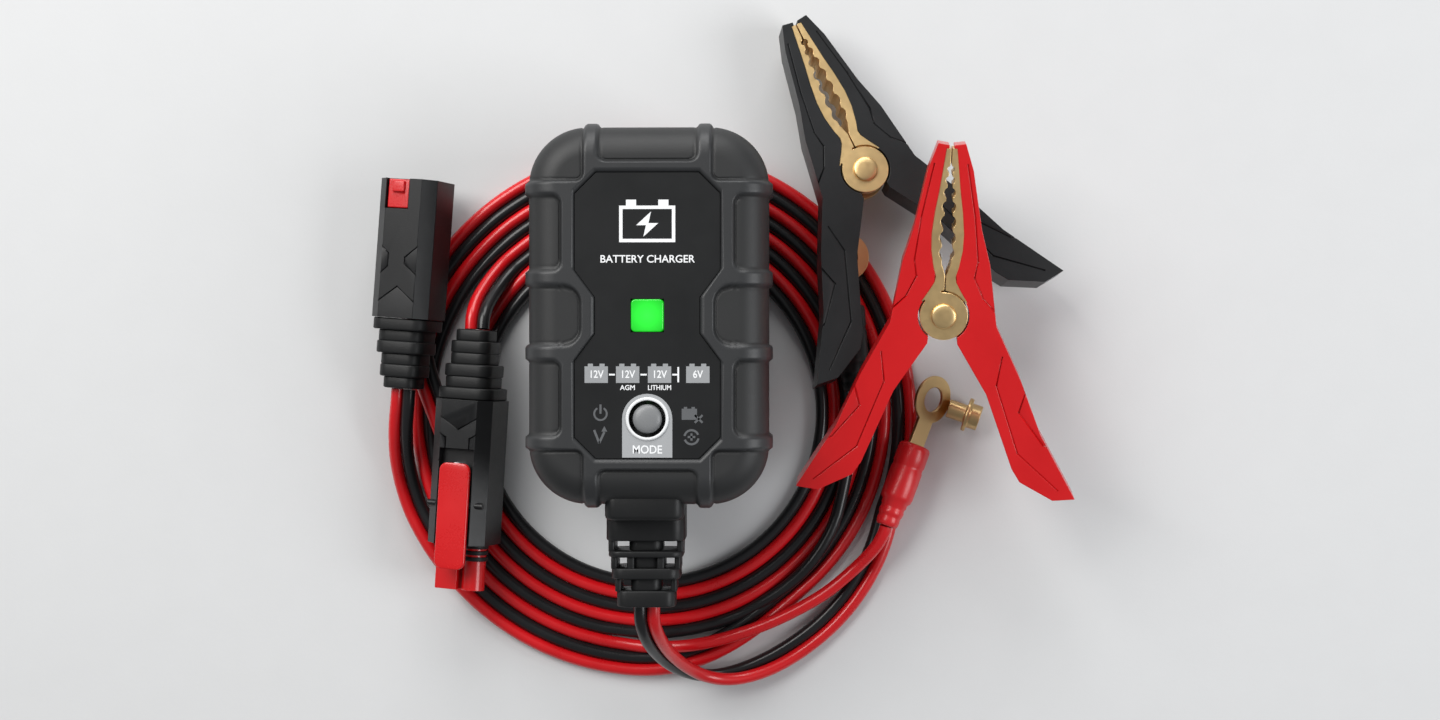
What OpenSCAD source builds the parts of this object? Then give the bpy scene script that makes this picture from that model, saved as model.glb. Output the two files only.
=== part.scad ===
/* [Housing] */
// Width of the housing over its ribs
body_w = 59; // [56:0.5:60]
// Height of the housing over its ribs
body_h = 91.5; // [90:0.5:93]
// Radius of the housing's corners, seen from the front
corner_r = 15; // [13:0.5:16]
// How far the plug blades stand out of the back
blade_len = 17; // [16:0.5:18]
// Depth of the housing, back to front
body_d = 33; // [32:0.5:34]
// How proud the ribs stand of the pads between them
rib_h = 0.9; // [0.6:0.1:1]
// Wall of the two shells
wall = 2.2; // [2:0.1:2.4]

/* [Leads] */
// Diameter of one conductor with its insulation
wire_d = 3.2; // [3:0.1:3.3]
// Number of turns that lie side by side in the coil
tracks = 4; // [4:1:4]
// Radius of the middle of the outermost turn
track_r = 64.9; // [64:0.1:65]

/* [Clamps] */
// Depth of a clamp, measured along its rivet
clamp_d = 11; // [10.6:0.2:11]
// Diameter of the rivet's shaft
rivet_d = 3; // [2.8:0.1:3.2]

/* [Connectors] */
// Width of a connector's body
conn_w = 15.5; // [15:0.5:16]
// Depth of a connector's body
conn_d = 16; // [15.5:0.5:16.5]

/* [Hidden] */

$fn = 48;

// Levels of the housing above the surface it lies on
back_z = blade_len;
front_z = back_z + body_d;
seam_z = back_z + 14;
pad_w = body_w - 2 * rib_h;
pad_h = body_h - 2 * rib_h;
edge_r = 8;
recess_z = front_z - 1.4;
panel_t = 0.8;
panel_z = recess_z + panel_t;
cavity_z = front_z - 4;
board_z = front_z - 10;
board_t = 1.6;
board_top = board_z + board_t;

// Face layout: half sizes of the panel and of the ribs between the pads
panel_x = 17.2;
panel_y = 33.7;
panel_cut = 5;
waist_y = 10.7;
waist_flat = 4.3;
waist_x = 12.4;
lens_w = 7.7;
button_y = -24.3;
button_r = 3.45;
button_hole_r = 4.35;
button_travel = 0.5;
switch_h = 2.5;

screw_x = 21;
screw_y = 35.5;
relief_x = -1;
relief_z = seam_z + 2;
collar_z = seam_z + 3.5;
collar_d = 22;
relief_end = -70;
coil_x = -2;
coil_y = -24;
coil_in = track_r - (2 * tracks - 1) * wire_d - 0.2;
coil_out = track_r + wire_d + 0.2;
coil_h = wire_d + 0.1;

// A flat plate with round corners, given as the four discs that a hull wraps
module corner_discs(w, h, r, z, t = 0.02) {
    for (x = [-1, 1], y = [-1, 1])
        translate([x * (w / 2 - r), y * (h / 2 - r), z]) cylinder(r = r, h = t, $fn = 20);
}

// The housing's outer form from z0 up to its rounded front edge
module housing_form(w, h, r, z0, z1, edge) {
    hull() {
        corner_discs(w - 1, h - 1, r - 0.5, z0);
        corner_discs(w, h, r, z0 + 1.5, z1 - edge - z0 - 1.5);
        for (a = [45, 90])
            corner_discs(w - 2 * edge * (1 - cos(a)), h - 2 * edge * (1 - cos(a)),
                r - edge * (1 - cos(a)), z1 - edge * (1 - sin(a)) - 0.02);
    }
}

module panel_outline(gap = 0) {
    x = panel_x - gap;
    y = panel_y - gap;
    w = waist_x - gap;
    half = [[x - panel_cut, y], [x, y - panel_cut], [x, waist_y], [w, waist_flat],
        [w, -waist_flat], [x, -waist_y], [x, panel_cut - y], [x - panel_cut, -y]];
    polygon(concat(half, [for (i = [len(half) - 1:-1:0]) [-half[i][0], half[i][1]]]));
}

// The sunken pads between the ribs, seen from the front
module pad_regions() {
    far = 60;
    for (s = [-1, 1]) {
        translate([-11.9, s > 0 ? 36.2 : -far]) square([23.8, far - 36.2]);
        for (m = [0, 1]) mirror([m, 0]) {
            translate([15, s > 0 ? 31.6 : -far]) square([far - 15, far - 31.6]);
            translate([20.2, s > 0 ? 10.5 : -28.5]) square([far - 20.2, 18]);
        }
    }
    for (m = [0, 1]) mirror([m, 0]) translate([15.6, -7.1]) square([far - 15.6, 14.2]);
}

module relief_notch() {
    translate([relief_x, -body_h / 2 + 2, relief_z]) cube([13, 8, 9], center = true);
}

module screw_places() {
    for (x = [-1, 1], y = [-1, 1]) translate([x * screw_x, y * screw_y, 0]) children();
}

module front_shell() {
    color("#26282a") difference() {
        union() {
            difference() {
                union() {
                    housing_form(pad_w, pad_h, corner_r - rib_h, seam_z, front_z - rib_h, edge_r);
                    difference() {
                        housing_form(body_w, body_h, corner_r, seam_z, front_z, edge_r);
                        translate([0, 0, seam_z - 1]) linear_extrude(body_d) pad_regions();
                    }
                }
                housing_form(pad_w - 2 * wall, pad_h - 2 * wall, corner_r - rib_h - wall,
                    seam_z - 2, cavity_z, edge_r - wall);
            }
            screw_places() translate([0, 0, seam_z]) cylinder(r = 3, h = cavity_z - seam_z + 0.5);
            for (x = [-1, 1], y = [-1, 1])
                translate([x * 19, y * 29.5, board_top]) cylinder(r = 2.6, h = cavity_z - board_top + 1);
        }
        translate([0, 0, recess_z]) linear_extrude(5) panel_outline();
        translate([-lens_w / 2 - 0.1, -lens_w / 2 - 0.1, cavity_z - 1]) cube([lens_w + 0.2, lens_w + 0.2, 8]);
        translate([0, button_y, cavity_z - 1]) cylinder(r = button_hole_r, h = 8);
        screw_places() translate([0, 0, seam_z - 1]) cylinder(r = 1.27, h = 9);
        relief_notch();
    }
}

module back_shell() {
    color("#222426") difference() {
        union() {
            difference() {
                hull() {
                    corner_discs(pad_w - 6, pad_h - 6, corner_r - 3.5, back_z);
                    corner_discs(pad_w - 2, pad_h - 2, corner_r - 1.5, back_z + 1.2);
                    corner_discs(pad_w, pad_h, corner_r - rib_h, back_z + 3);
                    corner_discs(pad_w, pad_h, corner_r - rib_h, seam_z - 0.02);
                }
                hull() {
                    corner_discs(pad_w - 2 * wall - 3, pad_h - 2 * wall - 3, corner_r - 4, back_z + wall);
                    corner_discs(pad_w - 2 * wall, pad_h - 2 * wall, corner_r - rib_h - wall, back_z + 4);
                    corner_discs(pad_w - 2 * wall, pad_h - 2 * wall, corner_r - rib_h - wall, seam_z + 1);
                }
            }
            screw_places() translate([0, 0, back_z + 1]) cylinder(r = 3.4, h = seam_z - back_z - 1);
        }
        for (x = [-1, 1]) translate([x * 6.35 - 0.8, -3.25, back_z - 1]) cube([1.6, 6.5, 5]);
        screw_places() {
            translate([0, 0, back_z - 1]) cylinder(r = 2.7, h = 3.2);
            translate([0, 0, back_z]) cylinder(r = 1.27, h = 20);
        }
        translate([0, 0, seam_z - 0.8]) gasket_ring(2);
        relief_notch();
    }
}

module gasket_ring(t) {
    gw = pad_w - wall;
    gh = pad_h - wall;
    gr = corner_r - rib_h - wall / 2;
    difference() {
        linear_extrude(t) round_plate(gw + 0.9, gh + 0.9, gr + 0.45);
        translate([0, 0, -1]) linear_extrude(t + 2) round_plate(gw - 0.9, gh - 0.9, gr - 0.45);
    }
}

// A plate with round corners made from exact squares and circles
module round_plate(w, h, r) {
    square([w - 2 * r, h], center = true);
    square([w, h - 2 * r], center = true);
    for (x = [-1, 1], y = [-1, 1]) translate([x * (w / 2 - r), y * (h / 2 - r)]) circle(r);
}

module shell_gasket() {
    color("#3a3a3a") difference() {
        translate([0, 0, seam_z - 0.8]) gasket_ring(0.8);
        relief_notch();
    }
}

module housing_screws() {
    color("silver") screw_places() difference() {
        union() {
            translate([0, 0, back_z + 0.6]) cylinder(r = 2.55, h = 1.6);
            translate([0, 0, back_z + 2.1]) cylinder(r = 1.25, h = 18);
        }
        translate([0, 0, back_z]) cylinder(r = 1.2, h = 1.5, $fn = 6);
    }
}

module front_panel() {
    color("#303234") difference() {
        translate([0, 0, recess_z]) linear_extrude(panel_t) panel_outline(0.12);
        translate([-lens_w / 2 - 0.1, -lens_w / 2 - 0.1, recess_z - 1]) cube([lens_w + 0.2, lens_w + 0.2, 4]);
        translate([0, button_y, recess_z - 1]) cylinder(r = button_hole_r, h = 4);
    }
}

module led_lens() {
    lens_z = cavity_z - 1.5;
    color("#35e04a") {
        translate([-lens_w / 2, -lens_w / 2, lens_z]) cube([lens_w, lens_w, panel_z + 0.3 - lens_z]);
        translate([-lens_w / 2 - 1, -lens_w / 2 - 1, lens_z]) cube([lens_w + 2, lens_w + 2, 1.5]);
    }
}

// Round cap with a flange that the front shell keeps in, and a stem towards the switch
module mode_button() {
    color("#8f9194") translate([0, button_y, 0]) {
        translate([0, 0, cavity_z - 1.3]) cylinder(r = button_hole_r + 0.6, h = 1.3);
        translate([0, 0, cavity_z - 1]) cylinder(r = button_r, h = panel_z + 1.4 - cavity_z);
        translate([0, 0, panel_z + 0.4]) cylinder(r1 = button_r, r2 = button_r - 0.8, h = 0.8);
        translate([0, 0, board_top + switch_h + button_travel + 0.02]) cylinder(r = 1.4, h = 1.3);
    }
}

module button_bezel() {
    color("#e6e7e8") translate([0, button_y, panel_z]) difference() {
        cylinder(r = 5.1, h = 0.5);
        translate([0, 0, -1]) cylinder(r = button_hole_r, h = 3);
    }
}

module button_spring() {
    color("silver") translate([0, button_y, board_top + 1.5]) difference() {
        cylinder(r = 3.3, h = cavity_z - 1.3 - board_top - 1.5);
        translate([0, 0, -1]) cylinder(r = 2.5, h = 8);
    }
}

module mode_switch() {
    color("#1b1b1b") translate([0, button_y, board_top]) {
        translate([-3.5, -3.5, 0]) cube([7, 7, 1.5]);
        cylinder(r = 1.5, h = switch_h);
    }
}

module indicator_leds() {
    color("#f2f2e0") {
        translate([-1.75, -1.4, board_top]) cube([3.5, 2.8, 1.9]);
        for (x = [-11.5, -4.5, 2.5, 11.5]) translate([x - 0.8, -13.4, board_top]) cube([1.6, 0.8, 0.6]);
    }
}

module circuit_board() {
    color("#1f6b3a") difference() {
        translate([-22, -32.5, board_z]) cube([44, 65, board_t]);
        for (x = [-1, 1], y = [-1, 1])
            translate([x * 19, y * 29.5, board_z - 1]) cylinder(r = 1.6, h = 4);
    }
}

// Ferrite core: two E halves around the winding
module transformer_core() {
    color("#3b3b3f") translate([9, 14, board_z - 15.5]) difference() {
        translate([-10, -10, 0]) cube([20, 20, 15.5]);
        for (y = [-1, 1]) translate([-11, y * 5.6 - 2.1, 2.5]) cube([22, 4.2, 10.5]);
    }
}

module transformer_winding() {
    color("#c9902f") translate([9, 14, board_z - 15.5]) {
        for (y = [-1, 1]) translate([-9, y * 5.6 - 2, 2.6]) cube([18, 4, 10.3]);
    }
}

module mains_capacitor() {
    color("#23252b") translate([-12, 18, board_z - 14]) cylinder(r = 6.5, h = 14);
}

module output_capacitor() {
    color("#2b3a55") for (x = [-14, -3]) translate([x, -20, board_z - 14]) cylinder(r = 5, h = 14);
}

module heatsink() {
    color("#b9bcc0") {
        translate([9, -27, board_z - 15]) cube([1.6, 18, 15]);
        for (y = [-25:4:-10]) translate([10.6, y - 0.6, board_z - 15]) cube([7, 1.2, 15]);
    }
}

module power_transistor() {
    color("#1d1d1f") {
        translate([5, -22, board_z - 13]) cube([4, 9, 9]);
        for (y = [-20, -17.5, -15]) translate([6.6, y - 0.4, board_z - 4]) cube([0.8, 0.8, 4]);
    }
}

module bridge_rectifier() {
    color("#202022") translate([-20, -6, board_z - 8]) cube([11, 9, 8]);
}

module mains_fuse() {
    color("#d9d2c0") translate([-3, -7, board_z - 4]) rotate([-90, 0, 0]) cylinder(r = 2.4, h = 9);
    color("#d9d2c0") translate([-4, -6, board_z - 4]) cube([2, 7, 4]);
}

// Insulator inside the back that holds the two blades
module blade_carrier() {
    color("#e9e4d6") difference() {
        translate([-11, -6, back_z + wall]) cube([22, 12, 4]);
        for (x = [-1, 1]) translate([x * 6.35 - 0.75, -3.2, back_z]) cube([1.5, 6.4, 12]);
    }
}

module plug_blades() {
    color("#c8a24a") for (x = [-1, 1]) difference() {
        union() {
            translate([x * 6.35 - 0.75, -3.175, 1]) cube([1.5, 6.35, back_z + wall + 5]);
            translate([x * 6.35 - 0.75, -2.4, 0]) cube([1.5, 4.8, 1.01]);
        }
        translate([x * 6.35 - 1, 0, 4]) rotate([0, 90, 0]) cylinder(r = 1.6, h = 2);
    }
}

module relief_slab(y, w, d, t, z = relief_z) {
    translate([relief_x, y, z]) rotate([90, 0, 0]) linear_extrude(t) round_plate(w, d, min(w, d) * 0.32);
}

// Moulded tail that the lead leaves through: collar, ribbed taper and end ring
module strain_relief() {
    outer = -body_h / 2;
    color("#1e1f21") difference() {
        union() {
            translate([relief_x - 6.4, outer - 2, relief_z - 4.4]) cube([12.8, 6, 8.8]);
            translate([relief_x - 8, outer + 3.3, relief_z - 5.5]) cube([16, 2, 11]);
            relief_slab(outer - 0.1, 18.6, collar_d, 2.4, collar_z);
            relief_slab(outer - 2.4, 19, 15, 4.4);
            relief_slab(outer - 6, 16, 12, 9);
            relief_slab(outer - 14, 13, 10, 8);
            relief_slab(outer - 9.2, 17.6, 13, 3);
            relief_slab(outer - 15.2, 15.6, 12, 3);
            relief_slab(relief_end + 3, 13.2, 10.6, 3);
        }
        for (x = [-1, 1]) translate([relief_x + x * wire_d / 2, relief_end - 1, relief_z])
            rotate([-90, 0, 0]) cylinder(r = wire_d / 2 + 0.04, h = 12);
    }
}

/* ---- leads ---- */

// Each route is the middle of a lead: x, y, z and the lead's roll in degrees.
// A roll of 0 has red on the right of the way the lead runs, 180 has it on the left.
exit_route = [[-1, -60, 33, 180], [-1, -66, 33, 180], [-1, -70, 33, 180], [-0.9, -74.5, 32, 180],
    [0.4, -79.5, 27, 170], [3.2, -84.8, 18, 150], [7.5, -89, 10.6, 125], [12.8, -91.4, 6, 95],
    [19.6, -91.4, 4, 60], [27.4, -89, 2.8, 30], [35.1, -84.8, 2, 10], [42.6, -79, 1.65, 0],
    [48.8, -72.2, 1.65, 0], [53.4, -65, 1.65, 0], [56.6, -57.8, 1.65, 0], [59.2, -49.4, 1.65, 0]];
plug_route = [[-36, 15.5, 1.65, 0], [-39.2, 12.3, 2.8, 0], [-42, 8.2, 6, 0],
    [-44.1, 3.9, 9.8, -4], [-44.9, 0.4, 12.2, -10], [-45.1, -2.9, 12.8, -16]];
socket_route = [[-63.75, -18.1, 12.8, -16], [-64.1, -22, 12.4, -14], [-64.9, -28, 10.2, -8],
    [-65.3, -35, 6.4, 0], [-64.6, -42, 3, 0], [-62.8, -48.4, 1.65, 0], [-60.2, -53.9, 1.65, 0]];
red_route = [[-10, -83.6, 1.65], [-2, -84.4, 2.8], [9, -83.6, 4.9], [20, -81, 4.9], [31, -76.8, 4.9],
    [42, -70.8, 4.9], [50, -64.2, 5.6], [55.2, -58.6, 7.8], [57.5, -54.6, 9], [58.1, -52.7, 9.3]];
black_route = [[25.5, -73.8, 1.65], [33, -68.6, 3.4], [40, -61.4, 4.9], [45, -52.6, 4.9],
    [47.6, -42.6, 4.9], [49.4, -32, 5.2], [50, -25, 6.9], [50.2, -18.8, 7.9]];

function unit(v) = v / norm(v);
function at(route, i) = route[max(0, min(len(route) - 1, i))];
function blend_curve(a, b, c, d, t) = 0.5 * (2 * b + (c - a) * t
    + (2 * a - 5 * b + 4 * c - d) * t * t + (3 * b - a - 3 * c + d) * t * t * t);
// The route with one more point in the middle of each stretch
function eased(route) = [for (i = [0:len(route) - 2], t = [0, 0.5])
    blend_curve(at(route, i - 1), route[i], route[i + 1], at(route, i + 2), t), route[len(route) - 1]];
function spot(p) = [p[0], p[1], p[2]];
function heading(route, i) = unit(spot(at(route, i + 1)) - spot(at(route, i - 1)));
function rightwards(t) = unit(cross(t, [0, 0, 1]));
// One conductor's path beside the middle of its lead: side 1 is red, -1 is black
function beside(route, side) = [for (i = [0:len(route) - 1])
    let (t = heading(route, i), r = rightwards(t), u = cross(r, t), a = route[i][3])
    spot(route[i]) + side * wire_d / 2 * (cos(a) * r + sin(a) * u)];

// A plain round tube along a path
module tube(path, d, sides = 8) {
    n = len(path);
    points = [for (i = [0:n - 1], k = [0:sides - 1])
        let (t = heading(path, i), r = rightwards(t), u = cross(r, t), a = 360 * (k + 0.5) / sides)
        path[i] + d / 2 * (cos(a) * r + sin(a) * u)];
    walls = [for (i = [0:n - 2], k = [0:sides - 1])
        [i * sides + k, i * sides + (k + 1) % sides, (i + 1) * sides + (k + 1) % sides, (i + 1) * sides + k]];
    polyhedron(points, concat(walls, [[for (k = [sides - 1:-1:0]) k]],
        [[for (k = [0:sides - 1]) (n - 1) * sides + k]]));
}

module lead_coil() {
    color("#8c1518") translate([coil_x, coil_y, 0]) rotate_extrude($fn = 96)
        translate([coil_in, 0]) square([coil_out - coil_in, coil_h]);
}

// The first three points of the exit route lie inside the strain relief
function outside(route) = [for (i = [2:len(route) - 1]) route[i]];

module charger_lead_red() {
    color("#d3171c") {
        tube(beside(outside(exit_route), 1), wire_d);
        tube(beside(plug_route, 1), wire_d);
    }
}

module charger_lead_black() {
    color("#17181a") {
        tube(beside(outside(exit_route), -1), wire_d);
        tube(beside(plug_route, -1), wire_d);
    }
}

module clamp_lead_red() {
    color("#d3171c") {
        tube(beside(socket_route, 1), wire_d);
        tube([for (p = red_route) spot(p)], wire_d);
    }
}

module clamp_lead_black() {
    color("#17181a") {
        tube(beside(socket_route, -1), wire_d);
        tube([for (p = black_route) spot(p)], wire_d);
    }
}

/* ---- connectors: +Y runs out of the mouth, the mouth is at y = 0, +Z is the marked face ---- */

conn_roll = -16;
plug_place = [[-48.4, -56.8, 12.8], 176.5];
socket_place = [[-59.9, 34.4, 12.8], -4.2];
plug_len = 36.2;
socket_len = 34.8;
boot_len = 17.6;
pin_x = 3.1;

module place(spot_turn) {
    translate(spot_turn[0]) rotate([0, 0, spot_turn[1]])
        rotate([0, conn_roll * (spot_turn[1] > 90 ? -1 : 1), 0]) children();
}

module conn_section(w, d, c) {
    polygon([for (q = [[1, 1], [-1, 1], [-1, -1], [1, -1]], k = [0, 1])
        let (first = (q[0] * q[1] > 0) == (k == 0))
        first ? [q[0] * w / 2, q[1] * (d / 2 - c)] : [q[0] * (w / 2 - c), q[1] * d / 2]]);
}

module along_y(y0, len) {
    translate([0, y0, 0]) rotate([90, 0, 0]) translate([0, 0, -len]) linear_extrude(len) children();
}

module boot_form(body_end) {
    pitch = boot_len / 3;
    for (i = [0:2]) {
        k = 1 - i * 0.14;
        along_y(body_end - i * pitch - 3, 3) conn_section(conn_w * k * 0.96, conn_d * k * 0.9, 3.4 * k);
        low = i < 2 ? 0.1 : 0;
        along_y(body_end - (i + 1) * pitch - low, pitch - 2.9 + low) conn_section(conn_w * k * 0.8, conn_d * k * 0.74, 3 * k);
    }
}

module boot_bores(body_end) {
    for (x = [-1, 1]) translate([x * wire_d / 2, body_end - boot_len - 1, 0])
        rotate([-90, 0, 0]) cylinder(r = wire_d / 2 + 0.04, h = 6);
}

module plug_body() {
    color("#1d1e20") place(plug_place) difference() {
        along_y(-plug_len, plug_len) conn_section(conn_w, conn_d, 3);
        translate([-7, -8, -4]) cube([14, 10, 8]);
        translate([-4.6, -24, conn_d / 2 - 2.2]) cube([9.2, 26, 4]);
        translate([-1.6, -13, conn_d / 2 - 4.6]) cube([3.2, 6, 6]);
        translate([-8.5, -10, conn_d / 2 - 1.3]) rotate([0, 90, 0]) cylinder(r = 0.8, h = 17);
    }
}

module plug_boot() {
    color("#1b1c1e") place(plug_place) difference() {
        boot_form(-plug_len);
        boot_bores(-plug_len);
    }
}

// Red insert: a square shroud for one pole and a round one for the other
module plug_nose() {
    color("#d3171c") place(plug_place) difference() {
        union() {
            translate([-7, -8, -4]) cube([14, 8, 8]);
            translate([0.3, -0.1, -2.9]) cube([5.8, 11.8, 5.8]);
            translate([-pin_x, -0.1, 0]) rotate([-90, 0, 0]) cylinder(r = 2.9, h = 11.8);
        }
        for (x = [-1, 1]) translate([x * pin_x, -10, 0]) rotate([-90, 0, 0]) cylinder(r = 1.8, h = 24);
    }
}

module plug_seal() {
    color("#151617") place(plug_place) for (y = [0.05, 1.6, 3.15]) difference() {
        translate([-pin_x, y, 0]) rotate([-90, 0, 0]) cylinder(r = 3.35, h = 1.1);
        translate([-pin_x, y - 1, 0]) rotate([-90, 0, 0]) cylinder(r = 2.9, h = 4);
    }
}

module plug_contacts() {
    color("#cfa35a") place(plug_place) for (x = [-1, 1]) difference() {
        translate([x * pin_x, -8, 0]) rotate([-90, 0, 0]) cylinder(r = 1.8, h = 18.5);
        translate([x * pin_x, -2, 0]) rotate([-90, 0, 0]) cylinder(r = 1.25, h = 20);
    }
}

lever_pin_y = -10;
lever_top = conn_d / 2 + 0.9;
lever_low = conn_d / 2 - 0.4;

// Latch lever: its rear end is pressed and its hooked front end lifts off the catch
module plug_lever() {
    color("#d3171c") place(plug_place) difference() {
        union() {
            translate([-4.1, -20.4, lever_low]) cube([8.2, 26.4, lever_top - lever_low]);
            translate([-1.4, -12, conn_d / 2 - 2.6]) cube([2.8, 4, 2.6]);
            translate([-2, 4.6, conn_d / 2 - 1.6]) cube([4, 1.4, 1.4]);
        }
        translate([-5, lever_pin_y, conn_d / 2 - 1.3]) rotate([0, 90, 0]) cylinder(r = 0.83, h = 10);
    }
}

module plug_lever_pin() {
    color("silver") place(plug_place)
        translate([-7.4, lever_pin_y, conn_d / 2 - 1.3]) rotate([0, 90, 0]) cylinder(r = 0.78, h = 14.8);
}

module plug_lever_spring() {
    color("silver") place(plug_place)
        translate([0, -19, conn_d / 2 - 2.2]) difference() {
            cylinder(r = 1.6, h = 1.8);
            translate([0, 0, -1]) cylinder(r = 1, h = 4);
        }
}

module socket_body() {
    color("#1d1e20") place(socket_place) difference() {
        along_y(-socket_len, socket_len) conn_section(conn_w, conn_d, 3);
        translate([pin_x, -14, 0]) rotate([-90, 0, 0]) cylinder(r = 3.5, h = 20);
        translate([-6.3, -14, -3.2]) cube([6.4, 20, 6.4]);
        translate([-5, -7.6, conn_d / 2 - 2.2]) cube([6.4, 10, 5]);
    }
}

module socket_boot() {
    color("#1b1c1e") place(socket_place) difference() {
        boot_form(-socket_len);
        boot_bores(-socket_len);
    }
}

module socket_catch() {
    color("#d3171c") place(socket_place) {
        translate([-4.6, -7.4, conn_d / 2 - 2.2]) cube([5.6, 7.2, 1.4]);
        translate([-3.2, -3.4, conn_d / 2 - 0.9]) cube([3.2, 2.8, 0.9]);
    }
}

module socket_contacts() {
    color("#cfa35a") place(socket_place) for (x = [-1, 1])
        translate([x * pin_x, -14, 0]) rotate([-90, 0, 0]) cylinder(r = 1.2, h = 9);
}

/* ---- ring terminals: +Y runs from the wire to the ring, y = 0 is the ring's centre ---- */

red_ring = [[70, -20.8, 6.4], [5, 0, 0], -20.5, 42];
black_ring = [[47.8, 15.4, 7.2], [1.2, 0, 0], 4, 10];
ring_hole_r = 3.2;
boot_back = 12.2;

module place_ring(r) {
    translate(r[0]) rotate([0, 0, r[2]]) rotate([r[1][0] * -1, 0, 0]) rotate([0, r[3], 0]) children();
}

module ring_terminal() {
    difference() {
        union() {
            translate([0, 0, -0.45]) cylinder(r = 6.1, h = 0.9);
            translate([-2.6, -boot_back - 2, -0.45]) cube([5.2, boot_back - 2, 0.9]);
            translate([0, -boot_back - 10, 0]) rotate([-90, 0, 0]) cylinder(r = 2.3, h = 9);
        }
        translate([0, 0, -2]) cylinder(r = ring_hole_r, h = 4);
    }
}

module terminal_boot() {
    difference() {
        union() {
            translate([0, -boot_back - 15.7, 0]) rotate([-90, 0, 0]) cylinder(r = 4.1, h = 15.7);
            translate([0, -boot_back - 21.9, 0]) rotate([-90, 0, 0]) cylinder(r1 = 2.5, r2 = 3.3, h = 6.3);
        }
        translate([-2.6, -boot_back - 2, -0.45]) cube([5.2, boot_back, 0.9]);
        translate([0, -boot_back - 10, 0]) rotate([-90, 0, 0]) cylinder(r = 2.3, h = 9);
        translate([0, -boot_back - 22, 0]) rotate([-90, 0, 0]) cylinder(r = wire_d / 2, h = 13);
    }
}

module red_terminal() { color("#cfa35a") place_ring(red_ring) ring_terminal(); }
module red_terminal_boot() { color("#d3171c") place_ring(red_ring) terminal_boot(); }
module black_terminal() { color("#cfa35a") place_ring(black_ring) ring_terminal(); }
module black_terminal_boot() { color("#1b1c1e") place_ring(black_ring) terminal_boot(); }

// Flanged screw that bolts a ring terminal to a clamp: +Z runs out of its head
module terminal_screw() {
    difference() {
        union() {
            translate([0, 0, -4.6]) cylinder(r = 2.35, h = 4.7);
            cylinder(r = 4.3, h = 1.1);
            translate([0, 0, 1]) cylinder(r = 3.2, h = 2.8);
        }
        translate([0, 0, 2]) cylinder(r = 1.5, h = 3, $fn = 6);
    }
}

module red_terminal_screw() {
    color("#cfa35a") translate([78.5, -24.5, 4.5]) rotate([0, 0, -19]) rotate([0, 84, 0]) terminal_screw();
}

module black_terminal_screw() {
    color("#cfa35a") place_clamp(black_clamp) translate([-seat_x, seat_y, -clamp_d / 2 + 3.9])
        rotate([180, 0, 0]) terminal_screw();
}

/* ---- clamps: +Y runs to the jaw tips, the rivet is at the origin along Z ---- */

red_clamp = [[70.95, 0.8, 28.6], [9, -3, 0], -2.6];
black_clamp = [[52.05, 36.1, 12.9], [-6.9, 4.5, 0], 24.7];
ear_r = 5.8;
knuckle_r = 6.2;
seat_x = 12.4;
seat_y = -12.4;

module place_clamp(c) {
    translate(c[0]) rotate(c[1]) rotate([0, 0, c[2]]) children();
}

// Right-hand lever: jaw flank above the rivet and handle below it
lever_outline = [[0.6, 41.2], [3.3, 41.6], [5.4, 35.4], [8.1, 21.3], [10.5, 12.9], [12.8, -2],
    [19.4, -15], [24.8, -28], [34, -43.6], [28.6, -44.2], [20.4, -40], [18.3, -36.8],
    [11.2, -18.7], [3.6, -6.7]];

// Edge of the brass liner, from the tip down to the rivet
liner_outline = [[0.15, 40.4], [1.3, 40.4], [1.9, 36], [2.6, 30], [3.4, 25], [3.9, 20], [3.8, 16],
    [3.1, 12], [2.4, 9.6], [2.6, 8.4], [3.7, 6.4], [5.6, 3.4]];

module lever_form() {
    difference() {
        translate([0, 0, -clamp_d / 2]) linear_extrude(clamp_d) difference() {
            polygon(lever_outline);
            polygon(concat(liner_outline, [[-2, 3.4], [-2, 40.4]]));
        }
        translate([0, 0, -clamp_d]) cylinder(r = knuckle_r, h = 2 * clamp_d);
    }
}

module screw_seat() {
    translate([seat_x, seat_y, -clamp_d]) cylinder(r = 2.38, h = 2 * clamp_d);
    translate([seat_x, seat_y, -clamp_d / 2 - 1]) cylinder(r = 4.4, h = 4.9);
}

module fixed_lever() {
    mirror([1, 0, 0]) difference() {
        lever_form();
        difference() {
            screw_seat();
            translate([seat_x - 6, seat_y - 6, clamp_d / 2 - 1.4]) cube([12, 12, 4]);
        }
    }
}

module liner_form() {
    linear_extrude(clamp_d - 0.2, center = true) difference() {
        polygon(concat(liner_outline, [[0.15, 3.4]]));
        for (c = [[35.4, 0.8], [32.8, 1], [29.8, 1.3], [26.4, 1.55], [22.8, 1.75], [19, 1.85], [15.3, 1.75]])
            translate([0.1, c[0]]) circle(r = c[1]);
        polygon([[0, 38.6], [0.45, 34], [0.8, 28], [1.15, 22], [1.3, 17], [1.1, 12.6], [0, 9.4]]);
    }
}

// The right-hand jaw has its ears inside, the left-hand jaw has them outside
module moving_jaw_form() {
    ear_z = clamp_d / 2 - 2.6;
    difference() {
        union() {
            difference() {
                liner_form();
                translate([0, 0, -clamp_d]) cylinder(r = knuckle_r, h = 2 * clamp_d);
            }
            for (z = [ear_z, -ear_z - 1.2]) translate([0, 0, z]) {
                cylinder(r = ear_r, h = 1.2);
                linear_extrude(1.2) polygon([[0.8, 5], [4.6, 3.4], [5, 4.2], [3.4, 6.7], [2.3, 8.4], [1.2, 8.4]]);
            }
        }
        translate([0, 0, -clamp_d]) cylinder(r = rivet_d / 2 + 0.05, h = 2 * clamp_d);
    }
}

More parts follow.
